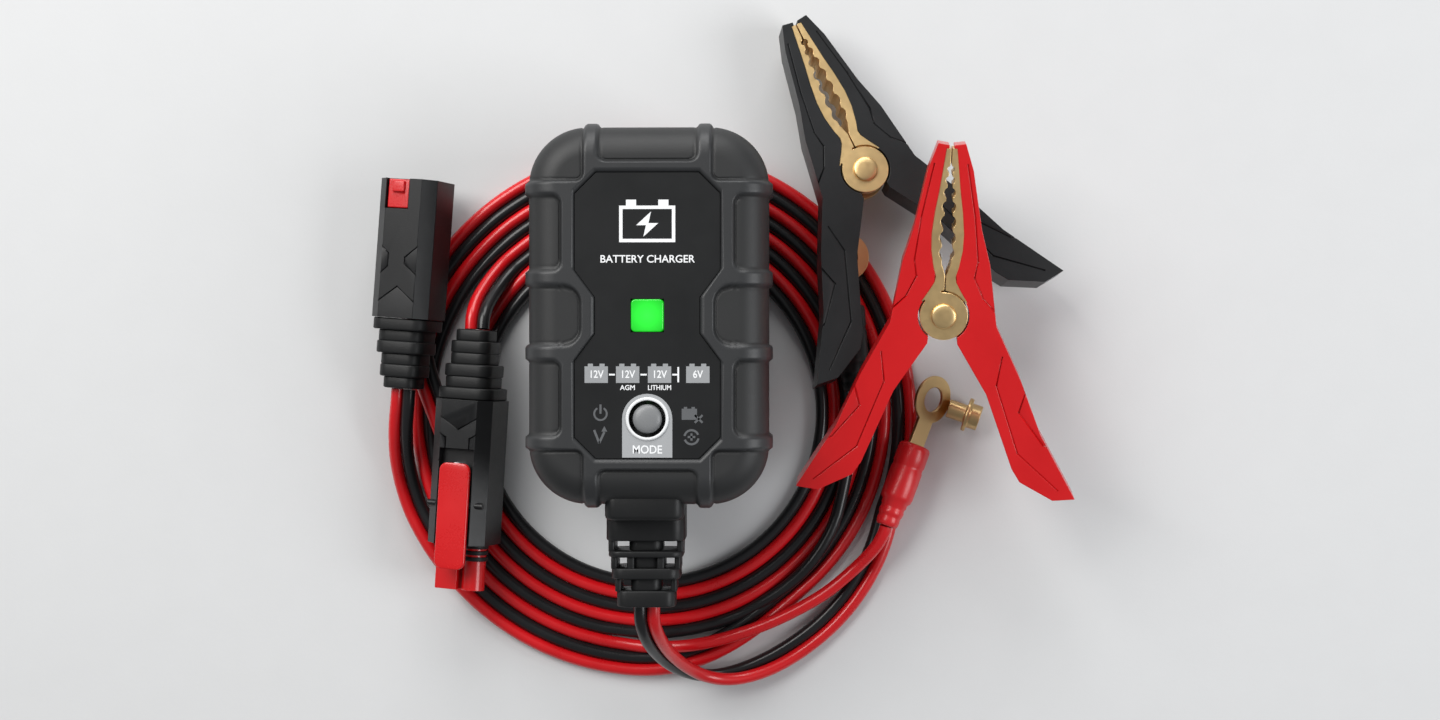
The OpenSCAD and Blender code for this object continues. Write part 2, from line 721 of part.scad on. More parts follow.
module fixed_jaw_form() {
    ear_z = clamp_d / 2 - 1.3;
    mirror([1, 0, 0]) difference() {
        union() {
            difference() {
                liner_form();
                translate([0, 0, -clamp_d]) cylinder(r = knuckle_r, h = 2 * clamp_d);
            }
            for (z = [ear_z, -ear_z - 1.2]) translate([0, 0, z]) {
                cylinder(r = ear_r, h = 1.2);
                linear_extrude(1.2) polygon([[0.8, 5], [4.6, 3.4], [5, 4.2], [3.4, 6.7], [2.3, 8.4], [1.2, 8.4]]);
            }
        }
        translate([0, 0, -clamp_d]) cylinder(r = rivet_d / 2 + 0.05, h = 2 * clamp_d);
    }
}

module rivet_form() {
    cylinder(r = rivet_d / 2, h = clamp_d + 0.4, center = true);
    for (s = [-1, 1]) translate([0, 0, s * (clamp_d / 2 + 0.35)]) cylinder(r = 3, h = 0.8, center = true);
}

module clamp_spring_form() {
    linear_extrude(clamp_d - 5.8, center = true) difference() {
        circle(r = 3.6);
        circle(r = 2.4);
    }
}

module red_clamp_fixed_lever() { color("#d3171c") place_clamp(red_clamp) fixed_lever(); }
module red_clamp_moving_lever() { color("#d3171c") place_clamp(red_clamp) lever_form(); }
module red_clamp_fixed_jaw() { color("#cfa35a") place_clamp(red_clamp) fixed_jaw_form(); }
module red_clamp_moving_jaw() { color("#cfa35a") place_clamp(red_clamp) moving_jaw_form(); }
module red_clamp_rivet() { color("#cfa35a") place_clamp(red_clamp) rivet_form(); }
module red_clamp_spring() { color("silver") place_clamp(red_clamp) clamp_spring_form(); }
module black_clamp_fixed_lever() { color("#232527") place_clamp(black_clamp) fixed_lever(); }
module black_clamp_moving_lever() { color("#232527") place_clamp(black_clamp) lever_form(); }
module black_clamp_fixed_jaw() { color("#cfa35a") place_clamp(black_clamp) fixed_jaw_form(); }
module black_clamp_moving_jaw() { color("#cfa35a") place_clamp(black_clamp) moving_jaw_form(); }
module black_clamp_rivet() { color("#cfa35a") place_clamp(black_clamp) rivet_form(); }
module black_clamp_spring() { color("silver") place_clamp(black_clamp) clamp_spring_form(); }

front_shell();
back_shell();
shell_gasket();
housing_screws();
front_panel();
led_lens();
mode_button();
button_bezel();
button_spring();
mode_switch();
indicator_leds();
circuit_board();
transformer_core();
transformer_winding();
mains_capacitor();
output_capacitor();
heatsink();
power_transistor();
bridge_rectifier();
mains_fuse();
blade_carrier();
plug_blades();
strain_relief();
lead_coil();
charger_lead_red();
charger_lead_black();
clamp_lead_red();
clamp_lead_black();
plug_body();
plug_boot();
plug_nose();
plug_seal();
plug_contacts();
plug_lever();
plug_lever_pin();
plug_lever_spring();
socket_body();
socket_boot();
socket_catch();
socket_contacts();
red_terminal();
red_terminal_boot();
black_terminal();
black_terminal_boot();
red_terminal_screw();
black_terminal_screw();
red_clamp_fixed_lever();
red_clamp_moving_lever();
red_clamp_fixed_jaw();
red_clamp_moving_jaw();
red_clamp_rivet();
red_clamp_spring();
black_clamp_fixed_lever();
black_clamp_moving_lever();
black_clamp_fixed_jaw();
black_clamp_moving_jaw();
black_clamp_rivet();
black_clamp_spring();
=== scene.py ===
# The camera looks almost straight down on the charger and its leads, as for a flat lay.
import math

import bmesh
import bpy
import numpy as np
from mathutils import Matrix, Vector


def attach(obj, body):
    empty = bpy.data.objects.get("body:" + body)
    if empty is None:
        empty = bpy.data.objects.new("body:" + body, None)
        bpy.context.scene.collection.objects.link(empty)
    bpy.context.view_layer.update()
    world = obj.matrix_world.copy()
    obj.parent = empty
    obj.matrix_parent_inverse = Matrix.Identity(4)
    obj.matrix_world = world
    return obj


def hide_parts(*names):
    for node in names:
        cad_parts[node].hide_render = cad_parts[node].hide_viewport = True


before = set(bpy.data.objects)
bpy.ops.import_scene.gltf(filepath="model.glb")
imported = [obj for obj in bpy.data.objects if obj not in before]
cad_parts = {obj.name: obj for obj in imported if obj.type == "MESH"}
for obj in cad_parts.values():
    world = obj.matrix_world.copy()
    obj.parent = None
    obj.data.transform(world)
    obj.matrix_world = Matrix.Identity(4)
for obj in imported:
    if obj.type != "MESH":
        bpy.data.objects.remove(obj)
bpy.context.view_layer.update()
scene = bpy.context.scene

camera_at = Vector((0.02987, -0.00681, 0.560))
looks_at = Vector((0.01587, -0.01081, 0.0))
ahead = (looks_at - camera_at).normalized()
sideways = ahead.cross(Vector((0, 1, 0))).normalized()
camera_data = bpy.data.cameras.new("camera")
camera_data.sensor_width = 36
camera_data.lens = 54.4
camera_data.clip_start = 0.01
camera = bpy.data.objects.new("camera", camera_data)
turned = Matrix((sideways, sideways.cross(ahead), -ahead)).transposed().to_4x4()
camera.matrix_world = Matrix.Translation(camera_at) @ turned
scene.collection.objects.link(camera)
scene.camera = camera


# The floor is a plain pale sheet of paper. Two broad soft lamps light it from the
# upper left and the right, and a narrow one skims the faces from above.
class Field:
    """A socket in a material. Arithmetic on it adds the Math nodes."""

    def __init__(self, tree, socket):
        self.tree, self.socket = tree, socket

    def math(self, operation, *others):
        made = self.tree.nodes.new("ShaderNodeMath")
        made.operation = operation
        for place, value in zip(made.inputs, (self,) + others):
            if isinstance(value, Field):
                self.tree.links.new(value.socket, place)
            else:
                place.default_value = value
        return Field(self.tree, made.outputs[0])

    def __add__(self, other):
        return self.math("ADD", other)

    __radd__ = __add__

    def __sub__(self, other):
        return self.math("SUBTRACT", other)

    def __rsub__(self, other):
        return self.math("MULTIPLY", -1.0).math("ADD", other)

    def __mul__(self, other):
        return self.math("MULTIPLY", other)

    __rmul__ = __mul__

    def clamped(self):
        return self.math("MINIMUM", 1.0).math("MAXIMUM", 0.0)


class Finish:
    """A material on the usual surface shader, with one way to add any other node."""

    def __init__(self, name, **surface):
        self.material = bpy.data.materials.new(name)
        self.material.use_nodes = True
        self.tree = self.material.node_tree
        self.surface = self.tree.nodes["Principled BSDF"]
        for socket, value in surface.items():
            self.set(socket.replace("_", " "), value)

    def set(self, socket, value):
        place = self.surface.inputs[socket]
        if isinstance(value, Field):
            self.tree.links.new(value.socket, place)
        else:
            place.default_value = value

    def node(self, kind, settings=None, out=0, **sockets):
        made = self.tree.nodes.new("ShaderNode" + kind)
        for key, value in (settings or {}).items():
            setattr(made, key, value)
        for key, value in sockets.items():
            numbered = key[0] == "i" and key[1:].isdigit()
            place = made.inputs[int(key[1:]) if numbered else key.replace("_", " ")]
            if isinstance(value, Field):
                self.tree.links.new(value.socket, place)
            else:
                place.default_value = value
        return Field(self.tree, made.outputs[out])

    def place(self):
        return self.node("TexCoord", out="Object")

    def noise(self, scale, detail=3.0, rough=0.55, at=None):
        return self.node("TexNoise", Vector=at or self.place(), Scale=scale, Detail=detail, Roughness=rough)

    def mix(self, factor, a, b):
        return self.node("Mix", {"data_type": "RGBA"}, out=2, i0=factor, i6=a, i7=b)

    def bump(self, height, distance, strength=1.0, under=None):
        sockets = {"Height": height, "Distance": distance, "Strength": strength}
        if under:
            sockets["Normal"] = under
        return self.node("Bump", **sockets)


def moulded(name, colour, rough=0.45, grain=2600.0, depth=0.00002, spread=0.25, coat=0.0, scuffs=0.0):
    """Moulded plastic or rubber: fine spark-eroded grain, slight clouding and a soft sheen."""
    made = Finish(name, Roughness=rough, IOR=1.5)
    if max(colour) < 0.05:
        made.set("Specular IOR Level", 0.3)
    if coat:
        made.set("Coat Weight", coat)
        made.set("Coat Roughness", 0.12)
    cloud = made.noise(90.0, 4.0)
    fine = made.noise(grain, 2.0, 0.6)
    dark = tuple(c * (1 - spread) for c in colour) + (1.0,)
    light = tuple(min(1.0, c * (1 + spread)) for c in colour) + (1.0,)
    made.set("Base Color", made.mix(cloud, dark, light))
    wear = made.noise(420.0, 5.0, 0.7)
    made.set("Roughness", (cloud * 0.14 + fine * 0.08 + wear * scuffs + (rough - 0.11 - scuffs * 0.5)).clamped())
    slow = made.bump(cloud, depth * 3.0, 0.3)
    made.set("Normal", made.bump(fine, depth, 0.8, slow))
    return made.material


paper = moulded("pale_paper", (0.62, 0.625, 0.63), 0.75, 900.0, 0.00002, 0.02)
floor_mesh = bpy.data.meshes.new("floor")
floor_mesh.from_pydata([(-3, -3, -0.0002), (3, -3, -0.0002), (3, 3, -0.0002), (-3, 3, -0.0002)], [], [(0, 1, 2, 3)])
floor = bpy.data.objects.new("floor", floor_mesh)
floor.data.materials.append(paper)
scene.collection.objects.link(floor)

for name, at, size, power, tint in (
    ("soft_left", (-0.55, 0.5, 0.75), 0.7, 10.0, (1.0, 0.99, 0.97)),
    ("soft_right", (0.75, -0.1, 0.6), 0.5, 4.2, (0.97, 0.985, 1.0)),
    ("skim_top", (0.05, 0.95, 0.5), 0.6, 6.0, (1.0, 1.0, 1.0)),
):
    lamp_data = bpy.data.lights.new(name, "AREA")
    lamp_data.size, lamp_data.energy, lamp_data.color = size, power, tint
    lamp = bpy.data.objects.new(name, lamp_data)
    lamp.location = at
    lamp.rotation_euler = (Vector((0.01, -0.01, 0.02)) - Vector(at)).to_track_quat("-Z", "Y").to_euler()
    scene.collection.objects.link(lamp)
world = bpy.data.worlds.new("studio")
world.use_nodes = True
world.node_tree.nodes["Background"].inputs[0].default_value = (0.8, 0.82, 0.85, 1)
world.node_tree.nodes["Background"].inputs[1].default_value = 0.26
scene.world = world
scene.view_settings.view_transform = "Standard"


# The two leads are pairs of PVC-covered copper conductors, 3.2 mm each, red beside
# black. They lie wound in one flat coil of four turns that pass over each other
# under the connectors and behind the housing.
mm = 0.001
wire_d = 3.2
coil_middle = (-2.0, -24.0)
turn_r = (64.9, 58.5, 52.1, 45.7)
over = 4.95
flat = 1.65


def eased(a, b, x):
    x = min(1.0, max(0.0, x))
    return a + (b - a) * x * x * (3 - 2 * x)


def keyed(keys, at):
    """The value at one angle of a list of (angle, value) keys, eased between them."""
    for (a, p), (b, q) in zip(keys, keys[1:]):
        if at <= b:
            return eased(p, q, (at - a) / (b - a))
    return keys[-1][1]


def wound(start, end, radius_keys, height_keys, step=6.0):
    count = max(2, round((end - start) / step))
    spots = []
    for i in range(count + 1):
        angle = start + (end - start) * i / count
        r, turn = keyed(radius_keys, angle), math.radians(angle)
        x, y = coil_middle[0] + r * math.cos(turn), coil_middle[1] + r * math.sin(turn)
        spots.append((x, y, keyed(height_keys, angle), 0.0))
    return spots


def smoothed(spots, parts=4):
    """The same run with more points, on a curve through every given one."""
    p = np.array(spots, dtype=float)
    ends = np.vstack([p[:1], p, p[-1:]])
    run = []
    for i in range(len(p) - 1):
        a, b, c, d = ends[i : i + 4]
        for k in range(parts):
            t = k / parts
            bow, twist = 2 * a - 5 * b + 4 * c - d, 3 * b - a - 3 * c + d
            run.append(0.5 * (2 * b + (c - a) * t + bow * t * t + twist * t ** 3))
    run.append(p[-1])
    return np.array(run)


def beside(run, side):
    """One conductor's line: side 1 is red, -1 is black, and the fourth number is the pair's roll."""
    line = []
    for i in range(len(run)):
        t = run[min(i + 1, len(run) - 1), :3] - run[max(i - 1, 0), :3]
        t /= np.linalg.norm(t)
        r = np.cross(t, (0, 0, 1))
        r /= np.linalg.norm(r)
        u = np.cross(r, t)
        a = math.radians(run[i, 3])
        line.append(run[i, :3] + side * wire_d / 2 * (math.cos(a) * r + math.sin(a) * u))
    return np.array(line)


def settled(name, data, finish, body="charger"):
    """An object of one mesh or curve with its finish, riding on a body."""
    data.materials.clear()
    data.materials.append(finish)
    made = bpy.data.objects.new(name, data)
    scene.collection.objects.link(made)
    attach(made, body)
    return made


def conductor(name, line, finish):
    data = bpy.data.curves.new(name, "CURVE")
    data.dimensions = "3D"
    data.bevel_depth = wire_d / 2 * mm
    data.bevel_resolution = 5
    data.use_fill_caps = True
    spline = data.splines.new("POLY")
    spline.points.add(len(line) - 1)
    for point, at in zip(spline.points, line):
        point.co = (at[0] * mm, at[1] * mm, at[2] * mm, 1)
    spline.use_smooth = True
    return settled(name, data, finish)


red_pvc = moulded("red_pvc", (0.62, 0.006, 0.010), 0.30, 1500.0, 0.000012, 0.16, 0.25)
black_pvc = moulded("black_pvc", (0.012, 0.012, 0.013), 0.30, 1500.0, 0.000012, 0.3, 0.25)

exit_run = [(-1, -70.0, 33, 180), (-0.9, -74.5, 32, 180), (0.4, -79.5, 27, 170), (3.2, -84.8, 18, 150),
            (7.5, -89, 10.6, 125), (12.8, -91.4, 6, 95), (19.6, -91.4, 4, 60), (27.4, -89, 2.8, 30),
            (35.1, -84.8, 2, 10), (42.6, -79, 1.65, 0), (48.8, -72.2, 1.65, 0), (53.4, -65, 1.65, 0),
            (56.6, -57.8, 1.65, 0)]
plug_run = [(-39.2, 12.3, 2.8, 0), (-42, 8.2, 6, 0), (-44.1, 3.9, 9.8, -4), (-44.9, 0.4, 12.2, -10), (-45.1, -2.9, 12.8,
        -16)]
charger_coil = wound(
    -22.5, 850.7,
    [(-22.5, 66.0), (10, turn_r[0]), (150, turn_r[0]), (190, turn_r[2]), (428, turn_r[2]), (472, turn_r[3]),
     (790, turn_r[3]), (832, turn_r[2]), (851, turn_r[2])],
    [(-22.5, flat), (142, flat), (158, over), (182, over), (198, flat), (788, flat), (800, over), (822, over),
     (836, flat), (851, flat)])
charger_run = smoothed(exit_run + charger_coil + plug_run)

socket_run = [(-63.75, -18.1, 12.8, -16), (-64.1, -22, 12.4, -14), (-64.9, -28, 10.2, -8), (-65.3, -35, 6.4, 0),
              (-64.6, -42, 3, 0), (-62.8, -48.4, 1.65, 0)]
clamp_coil = wound(
    207.2, 618, [(207, 65.4), (225, turn_r[0]), (268, turn_r[0]), (312, turn_r[1]), (620, turn_r[1])],
    [(207, flat), (620, flat)])
clamp_run = smoothed(socket_run + clamp_coil)
red_run = [(-10, -83.6, 1.65), (-2, -84.4, 2.8), (9, -83.6, 4.9), (20, -81, 4.9), (31, -76.8, 4.9),
           (42, -70.8, 4.9), (50, -64.2, 5.6), (55.2, -58.6, 7.8), (57.5, -54.6, 9), (58.1, -52.7, 9.3)]
black_bend = [spot[:3] for spot in wound(
    630, 656, [(630, turn_r[1] - 1.6), (656, turn_r[1] - 1.6)], [(630, flat), (656, flat)])]
black_run = [(33, -68.6, 3.4), (40, -61.4, 4.9), (45, -52.6, 4.9), (47.6, -42.6, 4.9), (49.4, -32, 5.2), (50, -25, 6.9),
             (50.2, -18.8, 7.9)]

charger_red = beside(charger_run, 1)
charger_black = beside(charger_run, -1)
red_side, black_side = beside(clamp_run, 1), beside(clamp_run, -1)
clamp_red = np.vstack([red_side, smoothed([tuple(red_side[-1])] + red_run)[1:]])
clamp_black = np.vstack([black_side, smoothed([tuple(black_side[-1])] + black_bend + black_run)[1:]])
charger_lead_red = conductor("charger_wire_red", charger_red, red_pvc)
charger_lead_black = conductor("charger_wire_black", charger_black, black_pvc)
clamp_lead_red = conductor("clamp_wire_red", clamp_red, red_pvc)
clamp_lead_black = conductor("clamp_wire_black", clamp_black, black_pvc)
for wire, *nodes in ((charger_lead_red, "charger_lead_red", "lead_coil"),
                     (charger_lead_black, "charger_lead_black"),
                     (clamp_lead_red, "clamp_lead_red"), (clamp_lead_black, "clamp_lead_black")):
    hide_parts(*nodes)


# The housing's front shell is one black moulding: flat pads of rubbery finish sunk
# between satin ribs that run over its rounded front edge and down its sides. The
# ribs frame a sunken panel. It is hollow and closed by the back shell.
body_w, body_h, corner_r, edge_r = 59.0, 91.5, 15.0, 8.0
seam_z, front_z, rib_h = 31.0, 50.0, 0.9
panel_x, panel_y, panel_cut = 17.2, 33.7, 5.0
waist_x, waist_y, waist_flat = 12.4, 10.7, 4.3


def rounded_rim(inset, arc=44, sides=(70, 120)):
    """Points round the housing's outline, that far inside it, always as many."""
    w, h = body_w / 2 - inset, body_h / 2 - inset
    r = max(0.6, corner_r - inset)
    rim = []
    middles = ((w - r, h - r, 0), (-(w - r), h - r, 90), (-(w - r), -(h - r), 180), (w - r, -(h - r), 270))
    for k, (x, y, turn) in enumerate(middles):
        for i in range(arc):
            a = math.radians(turn + 90 * i / arc)
            rim.append((x + r * math.cos(a), y + r * math.sin(a)))
        far_x, far_y, far_turn = middles[(k + 1) % 4]
        a = math.radians(turn + 90)
        start = np.array((x + r * math.cos(a), y + r * math.sin(a)))
        stop = np.array((far_x + r * math.cos(a), far_y + r * math.sin(a)))
        count = sides[k % 2]
        rim += [tuple(start + (stop - start) * i / count) for i in range(count)]
    return np.array(rim)


def panel_edge(gap=0.0):
    x, y, w = panel_x - gap, panel_y - gap, waist_x - gap
    half = [(x - panel_cut, y), (x, y - panel_cut), (x, waist_y), (w, waist_flat), (w, -waist_flat), (x, -waist_y),
            (x, panel_cut - y), (x - panel_cut, -y)]
    return np.array(half + [(-a, b) for a, b in reversed(half)])


def edge_towards(corners, points, soft=1.4):
    """Where a line from the middle towards each point meets the panel's outline."""
    hits = []
    for p in points:
        best = None
        for a, b in zip(corners, np.roll(corners, -1, axis=0)):
            s = b - a
            det = p[0] * -s[1] + s[0] * p[1]
            if abs(det) < 1e-9:
                continue
            t = (a[0] * -s[1] + s[0] * a[1]) / det
            u = (p[0] * a[1] - p[1] * a[0]) / det
            if t > 0 and -1e-6 <= u <= 1 + 1e-6 and (best is None or t < best):
                best = t
        hits.append(p * best)
    return np.array(hits)


def box_gap(x, y, cx, cy, hx, hy, r):
    """Distance outside a rounded rectangle, negative inside it."""
    dx, dy = np.abs(x - cx) - hx + r, np.abs(y - cy) - hy + r
    return np.hypot(np.maximum(dx, 0), np.maximum(dy, 0)) + np.minimum(np.maximum(dx, dy), 0) - r


def pad_gap(x, y):
    """Distance from the nearest pad's edge over the housing, negative on a pad."""
    ax, ay = np.abs(x), np.abs(y)
    gaps = [box_gap(ax, ay, 0, 36.2 + 20, 11.9, 20, 2.2), box_gap(ax, ay, 15 + 20, 31.6 + 20, 20, 20, 2.0),
            box_gap(ax, ay, 20.2 + 20, 19.5, 20, 9.0, 2.4), box_gap(ax, ay, 15.6 + 20, 0, 20, 7.1, 4.2)]
    return np.minimum.reduce(gaps)


def smooth_step(x):
    x = np.clip(x, 0, 1)
    return x * x * (3 - 2 * x)


def shell_rings():
    """(rim points, height, outward lean, carved) from the seam up and over, then the inside back down."""
    rings = [(rounded_rim(0), z, 0.0, True) for z in (seam_z + 0.05, seam_z + 0.5, 33.5, 36.0, 38.5, 41.0)]
    for k in range(1, 29):
        a = math.radians(90 * k / 28)
        rings.append((rounded_rim(edge_r * (1 - math.cos(a))), front_z - edge_r * (1 - math.sin(a)), a, True))
    rim = rounded_rim(edge_r)
    hit = edge_towards(panel_edge(), rim)
    reach = np.linalg.norm(hit - rim, axis=1)[:, None]
    inward = (hit - rim) / np.maximum(reach, 1e-6)
    for k in range(1, 57):
        rings.append((rim + inward * (reach - 1.1) * k / 56, front_z, math.pi / 2, True))
    for off, z in ((0.8, 49.93), (0.5, 49.8), (0.2, 49.55), (0.0, 49.2), (-0.02, 48.6), (-1.4, 48.58), (-1.6, 46.4)):
        rings.append((hit - inward * off, z, math.pi / 2, False))
    rings.append((rounded_rim(9.5), 46.0, 0.0, False))
    for a in (60, 30, 0):
        a = math.radians(a)
        rings.append((rounded_rim(3.3 + 5.8 * (1 - math.cos(a))), 46.2 - 5.8 * (1 - math.sin(a)), 0.0, False))
    rings += [(rounded_rim(3.3), seam_z + 0.05, 0.0, False)]
    return rings


points, carve = [], []
core_x, core_y = body_w / 2 - corner_r, body_h / 2 - corner_r
rings = shell_rings()
for rim, z, lean, carved in rings:
    x, y = rim[:, 0], rim[:, 1]
    gap = pad_gap(x, y)
    sunk = rib_h * smooth_step((0.35 - gap) / 0.9)
    groove = 0.22 * np.clip(1 - np.abs(gap + 0.55) / 0.3, 0, 1)
    depth = (sunk + groove) if carved else np.zeros(len(x))
    middle = np.stack([np.clip(x, -core_x, core_x), np.clip(y, -core_y, core_y)], axis=1)
    out = rim - middle
    out /= np.maximum(np.linalg.norm(out, axis=1), 1e-6)[:, None]
    moved = rim - out * (depth * math.cos(lean))[:, None]
    points.append(np.column_stack([moved, z - depth * math.sin(lean)]))
    carve.append((gap < -0.1) & carved)
columns = len(points[0])
shell_mesh = bpy.data.meshes.new("front_shell_visual")
faces = []
for i in range(len(points)):
    lower, upper = i * columns, (i + 1) % len(points) * columns
    faces += [(lower + j, lower + (j + 1) % columns, upper + (j + 1) % columns, upper + j) for j in range(columns)]
shell_mesh.from_pydata((np.concatenate(points) * mm).tolist(), [], faces)
pad_mark = shell_mesh.attributes.new("pad", "FLOAT", "POINT")
pad_mark.data.foreach_set("value", np.concatenate(carve).astype(np.float32))
shell_mesh.polygons.foreach_set("use_smooth", [True] * len(faces))

case = Finish("case_black", IOR=1.5)
on_pad = case.node("Attribute", {"attribute_name": "pad"}, out=2)
case_cloud = case.noise(60.0, 4.0)
case_grain = case.noise(3200.0, 2.0, 0.6)
case_scuff = case.noise(500.0, 6.0, 0.75)
rib_colour = case.mix(case_cloud, (0.020, 0.021, 0.022, 1), (0.028, 0.029, 0.031, 1))
pad_colour = case.mix(case_cloud, (0.011, 0.0115, 0.012, 1), (0.017, 0.0175, 0.018, 1))
case.set("Base Color", case.mix(on_pad, rib_colour, pad_colour))
case.set("Roughness", (0.34 + on_pad * 0.1 + case_grain * 0.1 + case_scuff * 0.08).clamped())
case.set("Normal", case.bump(case_grain, 0.000025, 0.7, case.bump(case_cloud, 0.00005, 0.25)))
shell_visual = settled("front_shell_visual", shell_mesh, case.material)
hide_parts("front_shell")


# The back shell and the gasket between the shells are seen only from behind and
# the sides. They are moulded plain, keep their form and get their own finishes.
def paint(node, finish):
    """Puts a finish on a piece of the frame that keeps its own form."""
    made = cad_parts[node]
    made.data.materials.clear()
    made.data.materials.append(finish)


back_black = moulded("back_black", (0.018, 0.019, 0.020), 0.5, 2200.0, 0.00003, 0.2)
seal_grey = moulded("seal_grey", (0.03, 0.03, 0.03), 0.75, 1400.0, 0.00002, 0.2)


def metal(name, colour, rough=0.3, grain=900.0, stretch=(1, 1, 14), depth=0.000006):
    """Bare metal with fine drawn lines and slightly uneven tarnish."""
    made = Finish(name, Metallic=1.0)
    lined = made.node("Mapping", Vector=made.place(), Scale=stretch)
    lines = made.noise(grain, 3.0, 0.6, lined)
    stain = made.noise(140.0, 5.0)
    dull, bright = (tuple(min(1, c * k) for c in colour) + (1,) for k in (0.82, 1.06))
    made.set("Base Color", made.mix(stain, dull, bright))
    made.set("Roughness", (lines * 0.14 + stain * 0.12 + (rough - 0.13)).clamped())
    made.set("Normal", made.bump(lines, depth, 0.6))
    return made.material


steel = metal("zinc_steel", (0.62, 0.63, 0.65), 0.32)
brass_strip = metal("brass_strip", (0.78, 0.56, 0.27), 0.3)
paint("back_shell", back_black)
paint("shell_gasket", seal_grey)
for node in ("button_spring", "plug_lever_spring", "red_clamp_spring", "black_clamp_spring"):
    paint(node, steel)
paint("plug_blades", brass_strip)


# Four screws go up from the back through the corners of the shells. Each is zinc
# plated steel, with a button head, a hexagonal socket and a rolled thread.
screw_across, screw_along = 21 * mm, 35.5 * mm
head_foot, head_h, shank_h = 17.6 * mm, 1.6 * mm, 17.9 * mm
thread_r, thread_turns = 1.2 * mm, 20.0
screw_tree = bpy.data.node_groups.new("corner_screws", "GeometryNodeTree")
for title in ("Spread across", "Spread along", "Head radius", "Shank radius"):
    screw_tree.interface.new_socket(title, in_out="INPUT", socket_type="NodeSocketFloat")
screw_tree.interface.new_socket("Finish", in_out="INPUT", socket_type="NodeSocketMaterial")
screw_tree.interface.new_socket("Geometry", in_out="OUTPUT", socket_type="NodeSocketGeometry")
asked = screw_tree.nodes.new("NodeGroupInput").outputs


def step(kind, settings=None, **sockets):
    """One step of the screws' tree. A socket takes a value, a link or several links."""
    made = screw_tree.nodes.new("GeometryNode" + kind)
    for key, value in (settings or {}).items():
        setattr(made, key, value)
    for key, value in sockets.items():
        place = made.inputs[int(key[1:])] if key[1:].isdigit() else made.inputs[key]
        for one in value if isinstance(value, list) else [value]:
            if isinstance(one, bpy.types.NodeSocket):
                screw_tree.links.new(one, place)
            else:
                place.default_value = one
    return made.outputs[0]


def raised(shape, height):
    return step("Transform", Geometry=shape, Translation=(0, 0, height))


head = raised(step("MeshCylinder", Vertices=40, Radius=asked["Head radius"], Depth=head_h), head_foot + head_h / 2)
hexagon = raised(step("MeshCylinder", Vertices=6, Radius=1.2 * mm, Depth=1.8 * mm), head_foot)
socketed = step("MeshBoolean", {"operation": "DIFFERENCE", "solver": "EXACT"}, i0=head, i1=hexagon)
shank_foot = head_foot + head_h - 0.1 * mm
shank = raised(step("MeshCylinder", Vertices=24, Radius=asked["Shank radius"], Depth=shank_h), shank_foot + shank_h / 2)
helix = step("CurveSpiral", Resolution=16, Rotations=thread_turns, Height=shank_h - 1.5 * mm,
             **{"Start Radius": thread_r, "End Radius": thread_r})
ridge = step("CurvePrimitiveCircle", {"mode": "RADIUS"}, Resolution=4, Radius=0.12 * mm)
thread = raised(step("CurveToMesh", Curve=helix, i1=ridge), head_foot + head_h + 1.0 * mm)
one_screw = step("JoinGeometry", Geometry=[socketed, shank, thread])
corners = step("MeshGrid", i0=asked["Spread across"], i1=asked["Spread along"], i2=2, i3=2)
four = step("RealizeInstances", Geometry=step("InstanceOnPoints", Points=corners, Instance=one_screw))
closing = screw_tree.nodes.new("NodeGroupOutput")
screw_tree.links.new(step("SetMaterial", Geometry=four, Material=asked["Finish"]), closing.inputs[0])
screws = bpy.data.objects.new("housing_screws_visual", bpy.data.meshes.new("housing_screws_visual"))
scene.collection.objects.link(screws)
fitted = screws.modifiers.new("corner_screws", "NODES")
fitted.node_group = screw_tree
values = {"Spread across": 2 * screw_across, "Spread along": 2 * screw_along, "Head radius": 2.5 * mm,
          "Shank radius": 1.15 * mm, "Finish": steel}
for item in screw_tree.interface.items_tree:
    if item.item_type == "SOCKET" and item.in_out == "INPUT":
        fitted[item.identifier] = values[item.name]
bpy.context.view_layer.update()
screw_mesh = bpy.data.meshes.new_from_object(screws.evaluated_get(bpy.context.evaluated_depsgraph_get()))
screws.modifiers.clear()
screws.data = screw_mesh
screw_mesh.set_sharp_from_angle(angle=math.radians(35))
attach(screws, "charger")
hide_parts("housing_screws")


# Inside are the circuit board, its transformer, capacitors, heatsink, transistor,
# rectifier and fuse, and the insulator that holds the blades.
def speckled(name, base, fleck, rough, scale=1200.0, metallic=0.0):
    """A filled or coated material with fine flecks in it."""
    made = Finish(name, Roughness=rough, Metallic=metallic)
    spots = made.noise(scale, 4.0, 0.7)
    made.set("Base Color", made.mix((spots * 6.0 - 2.9).clamped(), base + (1,), fleck + (1,)))
    made.set("Roughness", (spots * 0.3 + (rough - 0.15)).clamped())
    made.set("Normal", made.bump(spots, 0.00002, 0.5))
    return made.material


board_green = speckled("board_green", (0.015, 0.11, 0.04), (0.02, 0.16, 0.06), 0.35, 1500.0)
ferrite_grey = speckled("ferrite_grey", (0.05, 0.05, 0.055), (0.08, 0.08, 0.085), 0.6, 900.0)
wound_copper = metal("wound_copper", (0.70, 0.33, 0.14), 0.35, 1500.0, (1, 14, 1), 0.00004)
can_blue = moulded("capacitor_sleeve", (0.02, 0.03, 0.09), 0.3, 800.0, 0.00001)
cast_black = moulded("component_black", (0.012, 0.012, 0.012), 0.55, 1800.0, 0.00002)
fin_alloy = metal("extruded_alloy", (0.72, 0.73, 0.75), 0.38)
pale_ceramic = speckled("pale_ceramic", (0.62, 0.57, 0.46), (0.70, 0.66, 0.56), 0.5, 1100.0)
led_white = speckled("led_white", (0.8, 0.8, 0.66), (0.9, 0.9, 0.8), 0.3, 1400.0)
